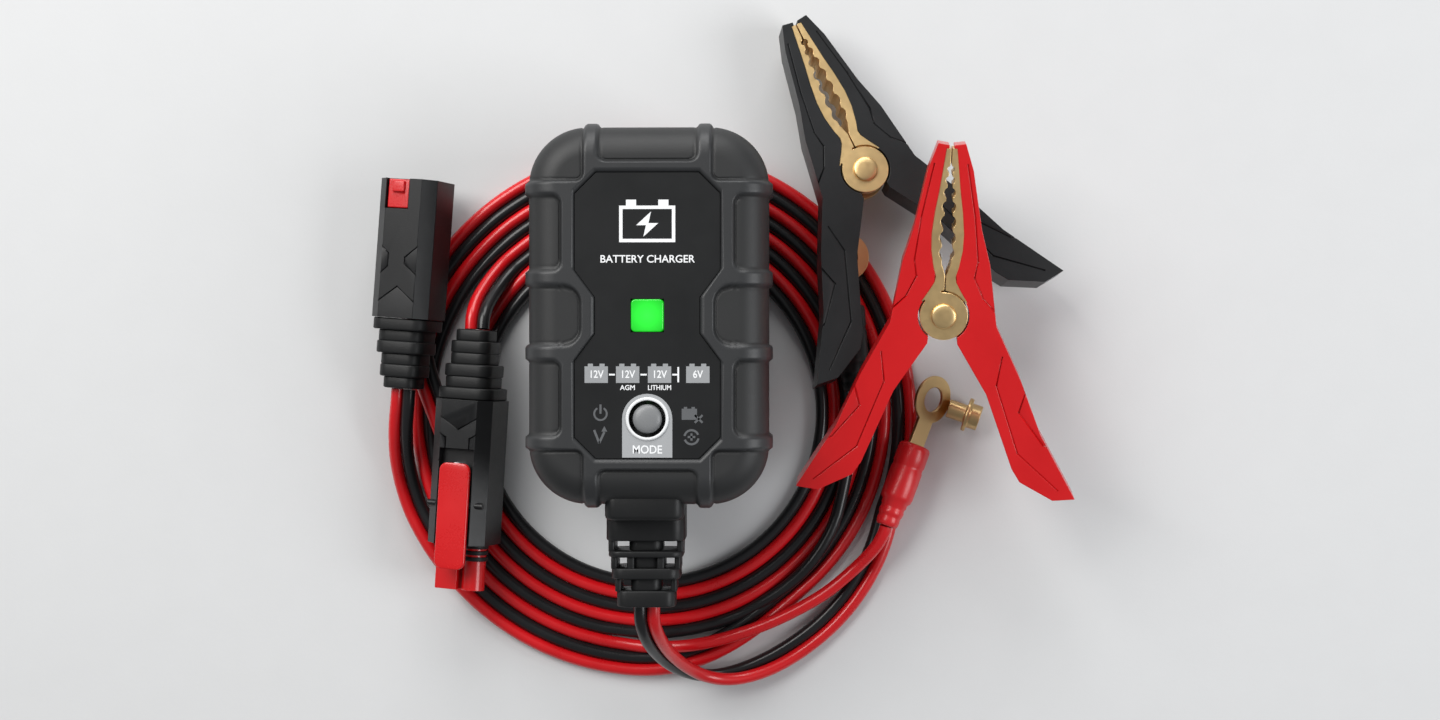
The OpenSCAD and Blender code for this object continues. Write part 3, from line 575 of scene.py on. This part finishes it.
for node, finish in (("circuit_board", board_green), ("transformer_core", ferrite_grey),
                     ("transformer_winding", wound_copper),
                     ("mains_capacitor", can_blue), ("output_capacitor", can_blue), ("heatsink", fin_alloy),
                     ("power_transistor", cast_black), ("bridge_rectifier", cast_black), ("mode_switch", cast_black),
                     ("mains_fuse", pale_ceramic), ("blade_carrier", pale_ceramic), ("indicator_leds", led_white)):
    paint(node, finish)


# The sunken panel is a matt black plate with its marks printed on it. It holds a
# square green lamp, and the mode button in a white ring on a grey plate.
panel_z = 49.4
button_y = -24.3
panel_black = moulded("panel_black", (0.010, 0.0105, 0.011), 0.42, 3000.0, 0.00001, 0.15)
paint("front_panel", panel_black)
print_white = moulded("print_white", (0.82, 0.83, 0.84), 0.5, 2500.0, 0.000004, 0.04)
print_grey = moulded("print_grey", (0.10, 0.104, 0.11), 0.5, 2500.0, 0.000004, 0.06)
plate_grey = moulded("plate_grey", (0.36, 0.37, 0.38), 0.4, 2500.0, 0.000008, 0.06)
cell_grey = moulded("cell_grey", (0.30, 0.31, 0.32), 0.45, 2500.0, 0.000006, 0.06)


def printed(name, outlines, finish, low=panel_z + 0.005, high=panel_z + 0.035):
    """Thin flat marks: each outline is a closed run of corners, anticlockwise."""
    data = bpy.data.meshes.new(name)
    work = bmesh.new()
    for outline in outlines:
        if sum(a[0] * b[1] - b[0] * a[1] for a, b in zip(outline, outline[1:] + outline[:1])) < 0:
            outline = outline[::-1]
        top = [work.verts.new((x * mm, y * mm, high * mm)) for x, y in outline]
        foot = [work.verts.new((x * mm, y * mm, low * mm)) for x, y in outline]
        work.faces.new(top)
        work.faces.new(foot[::-1])
        for i in range(len(outline)):
            k = (i + 1) % len(outline)
            work.faces.new((foot[i], foot[k], top[k], top[i]))
    work.to_mesh(data)
    work.free()
    return settled(name, data, finish)


def words(name, text, x, y, size, finish, low=panel_z, wide=1.0, bold=0.0):
    """A word printed on the panel, centred on x and y, with its capitals that high."""
    face = bpy.data.curves.new(name, "FONT")
    face.body = text
    face.align_x, face.align_y = "CENTER", "CENTER"
    face.size = size * 1.42 * mm
    face.extrude = 0.015 * mm
    face.offset = bold * mm
    face.resolution_u = 4
    carrier = bpy.data.objects.new(name + "_face", face)
    scene.collection.objects.link(carrier)
    bpy.context.view_layer.update()
    data = bpy.data.meshes.new_from_object(carrier.evaluated_get(bpy.context.evaluated_depsgraph_get()))
    bpy.data.objects.remove(carrier)
    data.transform(Matrix.Translation((x * mm, y * mm, (low + 0.03) * mm)) @ Matrix.Diagonal((wide, 1, 1, 1)))
    data.name = name
    return settled(name, data, finish)


def bar(x0, y0, x1, y1):
    return [(x0, y0), (x1, y0), (x1, y1), (x0, y1)]


def arc_band(x, y, r, thick, start, stop, count=28):
    """A curved stroke as a row of small quads."""
    quads = []
    for i in range(count):
        a, b = (math.radians(start + (stop - start) * k / count) for k in (i, i + 1))
        ends = ((r, a), (r, b), (r - thick, b), (r - thick, a))
        quads.append([(x + q * math.cos(t), y + q * math.sin(t)) for q, t in ends])
    return quads


def stroke(x0, y0, x1, y1, thick):
    length = math.hypot(x1 - x0, y1 - y0)
    nx, ny = -(y1 - y0) / length * thick / 2, (x1 - x0) / length * thick / 2
    return [(x0 - nx, y0 - ny), (x1 - nx, y1 - ny), (x1 + nx, y1 + ny), (x0 + nx, y0 + ny)]


def cell(x, y, w, h):
    """A car battery seen from the side: a box with two posts."""
    posts = [bar(x + w * a, y + h / 2, x + w * b, y + h * 0.66) for a, b in ((-0.36, -0.14), (0.14, 0.36))]
    return [bar(x - w / 2, y - h / 2, x + w / 2, y + h / 2)] + posts


printed("battery_mark", [bar(-6.6, 17.2, 6.6, 18.0), bar(-6.6, 25.0, 6.6, 25.8), bar(-6.6, 18.0, -5.8, 25.0),
                         bar(5.8, 18.0, 6.6, 25.0), bar(-5.0, 25.8, -2.6, 27.2), bar(2.6, 25.8, 5.0, 27.2)],
        print_white)
printed("bolt_mark", [[(0.9, 24.4), (-2.6, 21.2), (-0.3, 21.2)], [(-0.9, 18.5), (2.6, 21.7), (0.3, 21.7)],
                      [(0.9, 24.4), (-0.3, 21.2), (0.3, 21.7)], [(-0.3, 21.2), (-0.9, 18.5), (0.3, 21.7)]], print_white)
words("charger_words", "BATTERY CHARGER", 0, 13.2, 1.75, print_white, bold=0.03)
row_y = -13.9
for k, (x, label) in enumerate(((-12.0, "12V"), (-4.6, "12V"), (2.9, "12V"), (11.9, "6V"))):
    printed(f"battery_box_{k}", cell(x, row_y, 5.5, 3.9), cell_grey)
    words(f"battery_volts_{k}", label, x, row_y, 1.75, print_white, low=panel_z + 0.03, wide=0.86, bold=0.04)
dashes = [bar(x0, row_y - 0.2, x1, row_y + 0.2) for x0, x1 in ((-9.0, -7.6), (-1.6, -0.1), (5.9, 7.1))]
printed("row_lines", dashes + [bar(7.1, row_y - 1.8, 7.5, row_y + 1.8)], print_white)
words("label_agm", "AGM", -4.6, -17.0, 1.15, print_white, bold=0.03)
words("label_lithium", "LITHIUM", 2.9, -17.0, 1.15, print_white, wide=0.9, bold=0.03)
printed("standby_mark", arc_band(-11.0, -23.1, 1.7, 0.45, 120, 420) + [bar(-11.25, -23.1, -10.75, -20.9)], print_grey)
printed("voltage_mark", [stroke(-12.5, -26.9, -11.3, -30.0, 0.55), stroke(-11.3, -30.0, -10.1, -27.4, 0.55),
                         [(-10.8, -27.3), (-9.4, -27.3), (-10.1, -26.0)]], print_grey)
fault_cross = [stroke(11.2, -25.2, 13.0, -23.4, 0.5), stroke(11.2, -23.4, 13.0, -25.2, 0.5)]
printed("fault_mark", cell(9.9, -23.2, 3.6, 2.6) + fault_cross, print_grey)
printed("repair_mark", arc_band(10.4, -28.6, 1.9, 0.5, 20, 170, 18) + arc_band(10.4, -28.6, 1.9, 0.5, 200, 350, 18)
        + [bar(9.5, -28.8, 11.3, -28.3), bar(10.15, -29.4, 10.65, -27.7)], print_grey)


def around(r, start, stop):
    """Points on a circle round the button, ten degrees apart."""
    return [(r * math.cos(math.radians(a)), button_y + r * math.sin(math.radians(a))) for a in range(start, stop, 10)]


plate_half, plate_foot, ring_bore = 5.9, -33.4, 4.36
plate_arch = [(plate_half, plate_foot)] + around(plate_half, 0, 181) + [(-plate_half, plate_foot)]


def holed(name, outside, inside, finish, low, high):
    """A flat plate with one round hole through it."""
    data = bpy.data.meshes.new(name)
    work = bmesh.new()
    rims = []
    for z in (low, high):
        outer = [work.verts.new((x * mm, y * mm, z * mm)) for x, y in outside]
        inner = [work.verts.new((x * mm, y * mm, z * mm)) for x, y in inside]
        edges = [work.edges.new((run[i], run[(i + 1) % len(run)])) for run in (outer, inner) for i in range(len(run))]
        bmesh.ops.triangle_fill(work, edges=edges, use_beauty=True)
        rims.append((outer, inner))
    for (a, b) in zip(rims[0], rims[1]):
        for i in range(len(a)):
            k = (i + 1) % len(a)
            work.faces.new((a[i], a[k], b[k], b[i]))
    bmesh.ops.recalc_face_normals(work, faces=work.faces)
    work.to_mesh(data)
    work.free()
    return settled(name, data, finish)


holed("button_plate", plate_arch, around(ring_bore, 0, 360), plate_grey, panel_z + 0.004, panel_z + 0.12)
words("mode_word", "MODE", 0, -31.6, 1.9, print_white, low=panel_z + 0.115, wide=0.92, bold=0.05)


def turned_form(name, profile, middle, finish, body="charger", sides=96, axes=None):
    """A turned piece: (radius, height) pairs spun round an axis through middle."""
    data = bpy.data.meshes.new(name)
    spots, skin = [], []
    for r, z in profile:
        for k in range(sides):
            a = 2 * math.pi * k / sides
            spots.append((r * math.cos(a), r * math.sin(a), z))
    for i in range(len(profile) - 1):
        for k in range(sides):
            n = (k + 1) % sides
            skin.append((i * sides + k, i * sides + n, (i + 1) * sides + n, (i + 1) * sides + k))
    data.from_pydata([tuple(c * mm for c in p) for p in spots], [], skin)
    work = bmesh.new()
    work.from_mesh(data)
    bmesh.ops.remove_doubles(work, verts=work.verts, dist=1e-7)
    bmesh.ops.holes_fill(work, edges=work.edges, sides=0)
    bmesh.ops.recalc_face_normals(work, faces=work.faces)
    for face in work.faces:
        face.smooth = len(face.verts) < 6
    work.to_mesh(data)
    work.free()
    place = axes or Matrix.Identity(4)
    data.transform(Matrix.Translation(Vector(middle) * mm) @ place)
    return settled(name, data, finish, body)


button_grey = moulded("button_grey", (0.20, 0.205, 0.21), 0.36, 2600.0, 0.000012, 0.12)
ring_white = moulded("ring_white", (0.78, 0.79, 0.80), 0.3, 2600.0, 0.000008, 0.03)
dome = [(0.0, 50.55), (1.0, 50.52), (1.9, 50.42), (2.6, 50.25), (3.05, 50.02), (3.32, 49.7), (3.43, 49.3),
        (3.45, 48.6), (3.45, 46.0), (4.95, 45.95), (4.95, 44.75), (0.0, 44.7)]
button = turned_form("mode_button_cap", dome, (0, button_y, 0), button_grey, "mode_button")
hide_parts("mode_button")
ring_profile = [(ring_bore, 49.42), (ring_bore, 49.78), (4.5, 49.88), (4.75, 49.9), (5.0, 49.82), (5.1, 49.65),
                (5.1, 49.42), (ring_bore, 49.42)]
ring = turned_form("button_ring", ring_profile, (0, button_y, 0), ring_white)
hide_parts("button_bezel")

lamp_green = Finish("lamp_green", Roughness=0.25, Coat_Weight=0.3)
lamp_cloud = lamp_green.noise(260.0, 3.0)
lens_mm = lamp_green.node("Mapping", Vector=lamp_green.place(), Location=(0, 0, -50.0), Scale=(1 / mm,) * 3)
centre = lamp_green.node("VectorMath", {"operation": "LENGTH"}, out=1, i0=lens_mm)
glow = (1.0 - centre * 0.16).clamped()
lamp_green.set("Base Color", lamp_green.mix(glow, (0.004, 0.22, 0.01, 1), (0.02, 0.6, 0.04, 1)))
lamp_green.set("Emission Color", lamp_green.mix(glow, (0.0, 0.30, 0.0, 1), (0.03, 0.85, 0.04, 1)))
lamp_green.set("Emission Strength", 0.75)
lamp_green.set("Normal", lamp_green.bump(lamp_cloud, 0.00001, 0.3))


def soft_box(name, half_w, half_h, r, low, high, edge, middle, finish):
    """A rounded square block with a soft upper rim."""
    bend = [math.radians(a) for a in range(0, 91, 15)]
    rows = [(0.0, low)] + [(edge * (1 - math.cos(a)), high - edge * (1 - math.sin(a))) for a in bend]
    data = bpy.data.meshes.new(name)
    work = bmesh.new()
    loops = []
    for inset, z in rows:
        loop = []
        for k in range(4):
            sx, sy = ((1, 1), (-1, 1), (-1, -1), (1, -1))[k]
            for i in range(9):
                a = math.radians(90 * k + 90 * i / 8)
                q = max(0.05, r - inset)
                x = middle[0] + sx * (half_w - inset - q) + q * math.cos(a)
                y = middle[1] + sy * (half_h - inset - q) + q * math.sin(a)
                loop.append(work.verts.new((x * mm, y * mm, z * mm)))
        loops.append(loop)
    for a, b in zip(loops, loops[1:]):
        for i in range(len(a)):
            k = (i + 1) % len(a)
            work.faces.new((a[i], a[k], b[k], b[i])).smooth = True
    work.faces.new(loops[-1])
    work.faces.new(loops[0][::-1])
    work.to_mesh(data)
    work.free()
    return settled(name, data, finish)


lens = soft_box("lamp_lens", 3.82, 3.82, 1.0, 44.6, 49.72, 0.35, (0, 0), lamp_green.material)
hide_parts("led_lens")


# The strain relief is one soft rubber moulding: an arched collar against the
# housing, a block, and a tapering tail cut into rings that let the lead bend.
def lofted(name, sections, finish, place=None, body="charger", arc=6):
    """A closed form through rounded-rectangle sections: (y, half width, half depth, corner, x shift, z shift)."""
    data = bpy.data.meshes.new(name)
    work = bmesh.new()
    loops = []
    for y, w, d, r, dx, dz in sections:
        r = min(r, w * 0.999, d * 0.999)
        loop = []
        for k in range(4):
            sx, sz = ((1, 1), (-1, 1), (-1, -1), (1, -1))[k]
            for i in range(arc + 1):
                a = math.radians(90 * k + 90 * i / arc)
                x, z = dx + sx * (w - r) + r * math.cos(a), dz + sz * (d - r) + r * math.sin(a)
                loop.append(work.verts.new((x * mm, y * mm, z * mm)))
        loops.append(loop)
    for a, b in zip(loops, loops[1:]):
        for i in range(len(a)):
            k = (i + 1) % len(a)
            work.faces.new((a[i], a[k], b[k], b[i])).smooth = True
    work.faces.new(loops[-1])
    work.faces.new(loops[0])
    bmesh.ops.recalc_face_normals(work, faces=work.faces)
    work.to_mesh(data)
    work.free()
    if place:
        data.transform(place)
    return settled(name, data, finish, body)


def stepped(blocks, edge, dx=0.0, dz=0.0):
    """Sections for a row of blocks along y with rounded edges: (from y, to y, half width, half depth, corner)."""
    rows = []
    for y0, y1, w, d, r in blocks:
        s = 1 if y1 > y0 else -1
        for a in (90, 60, 30, 0):
            k, run = 1 - math.cos(math.radians(a)), 1 - math.sin(math.radians(a))
            rows.append((y0 + s * edge * run, w - edge * k, d - edge * k, r, dx, dz))
        for a in (0, 30, 60, 90):
            k, run = 1 - math.cos(math.radians(a)), 1 - math.sin(math.radians(a))
            rows.append((y1 - s * edge * run, w - edge * k, d - edge * k, r, dx, dz))
    return rows


relief_black = moulded("relief_rubber", (0.011, 0.0113, 0.0117), 0.42, 1800.0, 0.00003, 0.2, 0.0, 0.12)
relief_x, relief_z = -1.0, 33.0
rings = [(-46.0, -53.9, 9.5, 7.6, 3.2), (-56.3, -57.9, 9.0, 7.2, 3.0), (-60.5, -63.2, 8.3, 6.6, 2.9),
         (-66.0, -70.0, 7.1, 5.6, 2.6)]
necks = [(-53.7, -56.5, 4.1, 5.4, 2.4), (-57.7, -60.7, 3.9, 5.2, 2.3), (-63.0, -66.2, 3.7, 4.8, 2.2)]
blocks = [block for pair in zip(rings, necks) for block in pair] + rings[-1:]
tail = lofted("relief_tail", stepped(blocks, 0.4, relief_x, relief_z), relief_black)
collar = lofted("relief_collar", stepped([(-41.9, -48.6, 9.4, 11.0, 2.6)], 1.2, relief_x, 35.4), relief_black)
# Side bars close the gaps to short notches, and the middle gap has a web on each side.
for row, (top, foot) in enumerate(zip(rings, rings[1:])):
    half = (top[2] + foot[2]) / 2
    for side in (-1, 1):
        uprights = [(f"relief_bar_{row}_{side + 1}", 0.75, half * 0.62, half - 1.0)]
        if row == 1:
            uprights.append((f"relief_web_{side + 1}", 0.9, half * 0.74, 3.6))
        for name, thick, deep, out in uprights:
            block = (top[1] + 0.3, foot[0] - 0.3, thick, deep, 0.5)
            lofted(name, stepped([block], 0.2, relief_x + side * out, relief_z), relief_black)
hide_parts("strain_relief")


# The rest of the moulded pieces keep the frame's form but lose its sharp edges.
def softened(node, finish, edge, steps=2, angle=28, body="charger", cuts=(), shade=40):
    """A copy of a piece of the frame with its seams closed, its edges rounded, and grooves cut into it."""
    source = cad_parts[node]
    data = source.data.copy()
    data.name = node + "_visual"
    work = bmesh.new()
    work.from_mesh(data)
    bmesh.ops.remove_doubles(work, verts=work.verts, dist=2e-6)
    bmesh.ops.dissolve_limit(work, angle_limit=math.radians(1.2), verts=work.verts, edges=work.edges)
    bmesh.ops.recalc_face_normals(work, faces=work.faces)
    for face in work.faces:
        face.smooth = True
    work.to_mesh(data)
    work.free()
    data.materials.clear()
    data.materials.append(finish)
    made = bpy.data.objects.new(node + "_visual", data)
    scene.collection.objects.link(made)
    rounding = made.modifiers.new("rounding", "BEVEL")
    rounding.width, rounding.segments, rounding.limit_method = edge * mm, steps, "ANGLE"
    rounding.angle_limit = math.radians(angle)
    rounding.use_clamp_overlap = True
    rounding.miter_outer = "MITER_ARC"
    applied(made)
    for cut in cuts:
        groove = made.modifiers.new("groove", "BOOLEAN")
        groove.operation, groove.object, groove.solver = "DIFFERENCE", cut, "EXACT"
        groove.use_self = True
        applied(made)
        bpy.data.objects.remove(cut)
    made.data.materials.clear()
    made.data.materials.append(finish)
    made.data.set_sharp_from_angle(angle=math.radians(shade))
    flats = made.modifiers.new("flats", "WEIGHTED_NORMAL")
    flats.keep_sharp, flats.weight = True, 90
    applied(made)
    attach(made, body)
    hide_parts(node)
    return made


def applied(made):
    """Turns the modifiers' result into the piece's own mesh."""
    bpy.context.view_layer.update()
    result = bpy.data.meshes.new_from_object(made.evaluated_get(bpy.context.evaluated_depsgraph_get()))
    old = made.data
    made.modifiers.clear()
    made.data = result
    bpy.data.meshes.remove(old)


def wedges(name, runs, width, low, high, place):
    """Cutters for shallow grooves: strips along runs of (x, y) corners, from low to high."""
    data = bpy.data.meshes.new(name)
    work = bmesh.new()
    for run in runs:
        for (x0, y0), (x1, y1) in zip(run, run[1:]):
            length = math.hypot(x1 - x0, y1 - y0)
            tx, ty = (x1 - x0) / length * width * 0.45, (y1 - y0) / length * width * 0.45
            nx, ny = -(y1 - y0) / length * width / 2, (x1 - x0) / length * width / 2
            x0, y0, x1, y1 = x0 - tx, y0 - ty, x1 + tx, y1 + ty
            rims = []
            for z, spread in ((high, 1.0), (low, 0.2)):
                px, py = nx * spread, ny * spread
                corners = ((x0 - px, y0 - py), (x1 - px, y1 - py), (x1 + px, y1 + py), (x0 + px, y0 + py))
                rims.append([work.verts.new((x * mm, y * mm, z * mm)) for x, y in corners])
            top, foot = rims
            work.faces.new(top)
            work.faces.new(foot[::-1])
            for i in range(4):
                k = (i + 1) % 4
                work.faces.new((foot[i], foot[k], top[k], top[i]))
    bmesh.ops.recalc_face_normals(work, faces=work.faces)
    work.to_mesh(data)
    work.free()
    data.transform(place)
    made = bpy.data.objects.new(name, data)
    scene.collection.objects.link(made)
    return made


def spun(x, y, z, *turns):
    """A place in millimetres, then turns of (axis, degrees) from the outermost in."""
    made = Matrix.Translation(Vector((x, y, z)) * mm)
    for axis, degrees in turns:
        made = made @ Matrix.Rotation(math.radians(degrees), 4, axis)
    return made


# The two connectors are black glass-filled nylon with chevron grooves moulded into
# their faces, and a ribbed rubber boot over the lead. The plug's red lever latches
# over the red catch in the socket's mouth.
nylon_black = moulded("nylon_black", (0.011, 0.0113, 0.012), 0.36, 2400.0, 0.00002, 0.2, 0.0, 0.1)
boot_black = moulded("boot_rubber", (0.010, 0.0103, 0.0107), 0.45, 1700.0, 0.00003, 0.2, 0.0, 0.12)
latch_red = moulded("latch_red", (0.58, 0.005, 0.007), 0.28, 2200.0, 0.00001, 0.1, 0.3)
contact_gold = metal("contact_gold", (0.72, 0.50, 0.24), 0.34)
plug_at = spun(-48.4, -56.8, 12.8, ("Z", 176.5), ("Y", 16))
socket_at = spun(-59.9, 34.4, 12.8, ("Z", -4.2), ("Y", -16))
face_z, groove_w, groove_deep = 8.0, 0.55, 0.4
chevrons = {
    "plug": [[(7.9, -29.5), (3.2, -26.6), (3.2, -21.8), (7.9, -18.9)],
             [(-7.9, -29.5), (-3.2, -26.6), (-3.2, -21.8), (-7.9, -18.9)],
             [(-7.9, -33.6), (0, -28.8), (7.9, -33.6)]],
    "socket": [[(7.9, -26.6), (1.6, -21.2), (1.6, -19.6), (7.9, -14.2)],
               [(-7.9, -26.6), (-3.0, -22.0), (-3.0, -18.8), (-7.9, -14.2)],
               [(-7.9, -33.0), (0, -27.0), (7.9, -33.0)]]}
for half, at in (("plug", plug_at), ("socket", socket_at)):
    cut = wedges(half + "_grooves", chevrons[half], groove_w, face_z - groove_deep, face_z + 0.2, at)
    softened(half + "_body", nylon_black, 0.5, cuts=[cut])


def boot_rows(body_end):
    blocks, pitch = [], 17.6 / 3
    for i in range(3):
        k = 1 - i * 0.14
        top = body_end - i * pitch
        blocks.append((top - (0.05 if i == 0 else -0.15), top - 3.0, 7.75 * k * 0.96, 8.0 * k * 0.9, 3.6 * k))
        blocks.append((top - 2.9, top - pitch, 7.75 * k * 0.8, 8.0 * k * 0.74, 3.2 * k))
    return stepped(blocks, 0.4)


for half, at, body_end in (("plug", plug_at, -36.2), ("socket", socket_at, -34.8)):
    lofted(half + "_boot_visual", boot_rows(body_end), boot_black, at)
    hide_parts(half + "_boot")
plug_nose = softened("plug_nose", latch_red, 0.35)
socket_catch = softened("socket_catch", latch_red, 0.3)
lever_half, lever_corner, lever_from, lever_to = 4.1, 1.9, -20.4, 6.0
lever_low, lever_top = 7.6, 8.9
lever_middle, lever_thick = (lever_top + lever_low) / 2, lever_top - lever_low
bend = [math.radians(15 * i) for i in range(7)]
nose = [(lever_corner * (1 - math.cos(a)), lever_half - lever_corner * (1 - math.sin(a))) for a in bend]
lever_plan = [(lever_from + run, half) for run, half in nose] + [(lever_to - run, half) for run, half in nose[::-1]]
lever_rows = [(y, half, lever_thick / 2, 0.5, 0.0, lever_middle) for y, half in lever_plan]
foot_rows = stepped([(-12.0, -8.0, 1.4, 1.2, 0.3)], 0.2, 0.0, 6.7)
hook_rows = stepped([(4.6, 6.0, 2.0, 0.75, 0.3)], 0.2, 0.0, 7.1)
plug_lever, fulcrum, hook = (lofted("plug_lever_" + part, rows, latch_red, plug_at, "plug_lever")
                             for part, rows in (("visual", lever_rows), ("foot", foot_rows), ("hook", hook_rows)))
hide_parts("plug_lever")
plug_seal = softened("plug_seal", boot_black, 0.3)
for node in ("plug_contacts", "socket_contacts"):
    paint(node, contact_gold)
paint("plug_lever_pin", nylon_black)


# Two ring terminals are pressed from brass strip and crimped on the bare ends of
# the clamp lead, under a soft sleeve. The flanged screws bolt them to the clamps.
sleeve_red = moulded("sleeve_red", (0.62, 0.010, 0.014), 0.34, 1800.0, 0.00002, 0.12, 0.15)
red_ring_at = spun(70, -20.8, 6.4, ("Z", -20.5), ("X", -5), ("Y", 42))
black_ring_at = spun(47.8, 15.4, 7.2, ("Z", 4), ("X", -1.2), ("Y", 10))
terminal = {tone: softened(tone + "_terminal", contact_gold, 0.18) for tone in ("red", "black")}
for tone in ("red", "black"):
    softened(tone + "_terminal_screw", contact_gold, 0.25)
sleeve_form = [(0.0, -12.3), (2.9, -12.3), (3.6, -12.5), (4.0, -13.0), (4.1, -13.7), (4.1, -17.5), (3.9, -18.0),
               (3.9, -18.6), (4.1, -19.1), (4.1, -26.0), (3.9, -27.0), (3.3, -27.7), (3.3, -28.6), (3.05, -29.0),
               (3.05, -29.6), (3.2, -30.0), (3.1, -31.0), (2.85, -31.4), (2.85, -32.0), (2.95, -32.4), (2.8, -33.5),
               (2.5, -34.1), (1.62, -34.1), (1.62, -33.0), (0.0, -33.0)]
flip = Matrix.Rotation(math.radians(-90), 4, "X")
for tone, at, finish in (("red", red_ring_at, sleeve_red), ("black", black_ring_at, boot_black)):
    turned_form(tone + "_terminal_boot_visual", sleeve_form, (0, 0, 0), finish,
                               sides=48, axes=at @ flip)
    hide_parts(tone + "_terminal_boot")


# Each clamp has two moulded levers on a brass rivet, with a coiled spring inside
# the knuckle and toothed brass liners pressed into its jaws. One lever swings open.
lever_red = moulded("lever_red", (0.56, 0.005, 0.007), 0.33, 2200.0, 0.000015, 0.1, 0.2)
lever_black = moulded("lever_black", (0.016, 0.0165, 0.0175), 0.38, 2200.0, 0.00002, 0.18, 0.0, 0.08)
liner_brass = metal("liner_brass", (0.93, 0.66, 0.32), 0.4, 700.0, (1, 1, 1), 0.00001)
clamp_at = {"red": spun(70.95, 0.8, 28.6, ("Y", -3), ("X", 9), ("Z", -2.6)),
            "black": spun(52.05, 36.1, 12.9, ("Y", 4.5), ("X", -6.9), ("Z", 24.7))}
lever_lines = [[(12.4, 1.5), (9.3, 4.6), (7.0, 9.5), (7.6, 13.5), (6.4, 24.0), (4.0, 36.5)],
               [(14.6, -9.5), (13.6, -16.5), (19.6, -33.0), (29.6, -41.5)],
               [(20.6, -18.2), (19.3, -22.8), (25.6, -30.6), (27.6, -31.6)]]
rivet_form = [(0.0, 6.32), (1.6, 6.3), (2.5, 6.24), (2.85, 6.1), (3.0, 5.85), (3.0, 5.5), (1.5, 5.45), (1.5, -5.45),
              (3.0, -5.5), (3.0, -5.85), (2.85, -6.1), (2.5, -6.24), (0.0, -6.3)]
for tone, shell_finish in (("red", lever_red), ("black", lever_black)):
    for part, body in (("fixed", "charger"), ("moving", tone + "_clamp_jaw")):
        side = 1 if part == "moving" else -1
        lines = [[(side * x, y) for x, y in run] for run in lever_lines]
        cut = wedges(f"{tone}_{part}_lines", lines, 0.7, 5.5 - 0.45, 5.7, clamp_at[tone])
        softened(f"{tone}_clamp_{part}_lever", shell_finish, 0.9, 3, body=body, cuts=[cut])
        softened(f"{tone}_clamp_{part}_jaw", liner_brass, 0.15, 1, body=body)
    rivet = turned_form(tone + "_rivet", rivet_form, (0, 0, 0), liner_brass, sides=64,
                        axes=clamp_at[tone])
    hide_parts(tone + "_clamp_rivet")
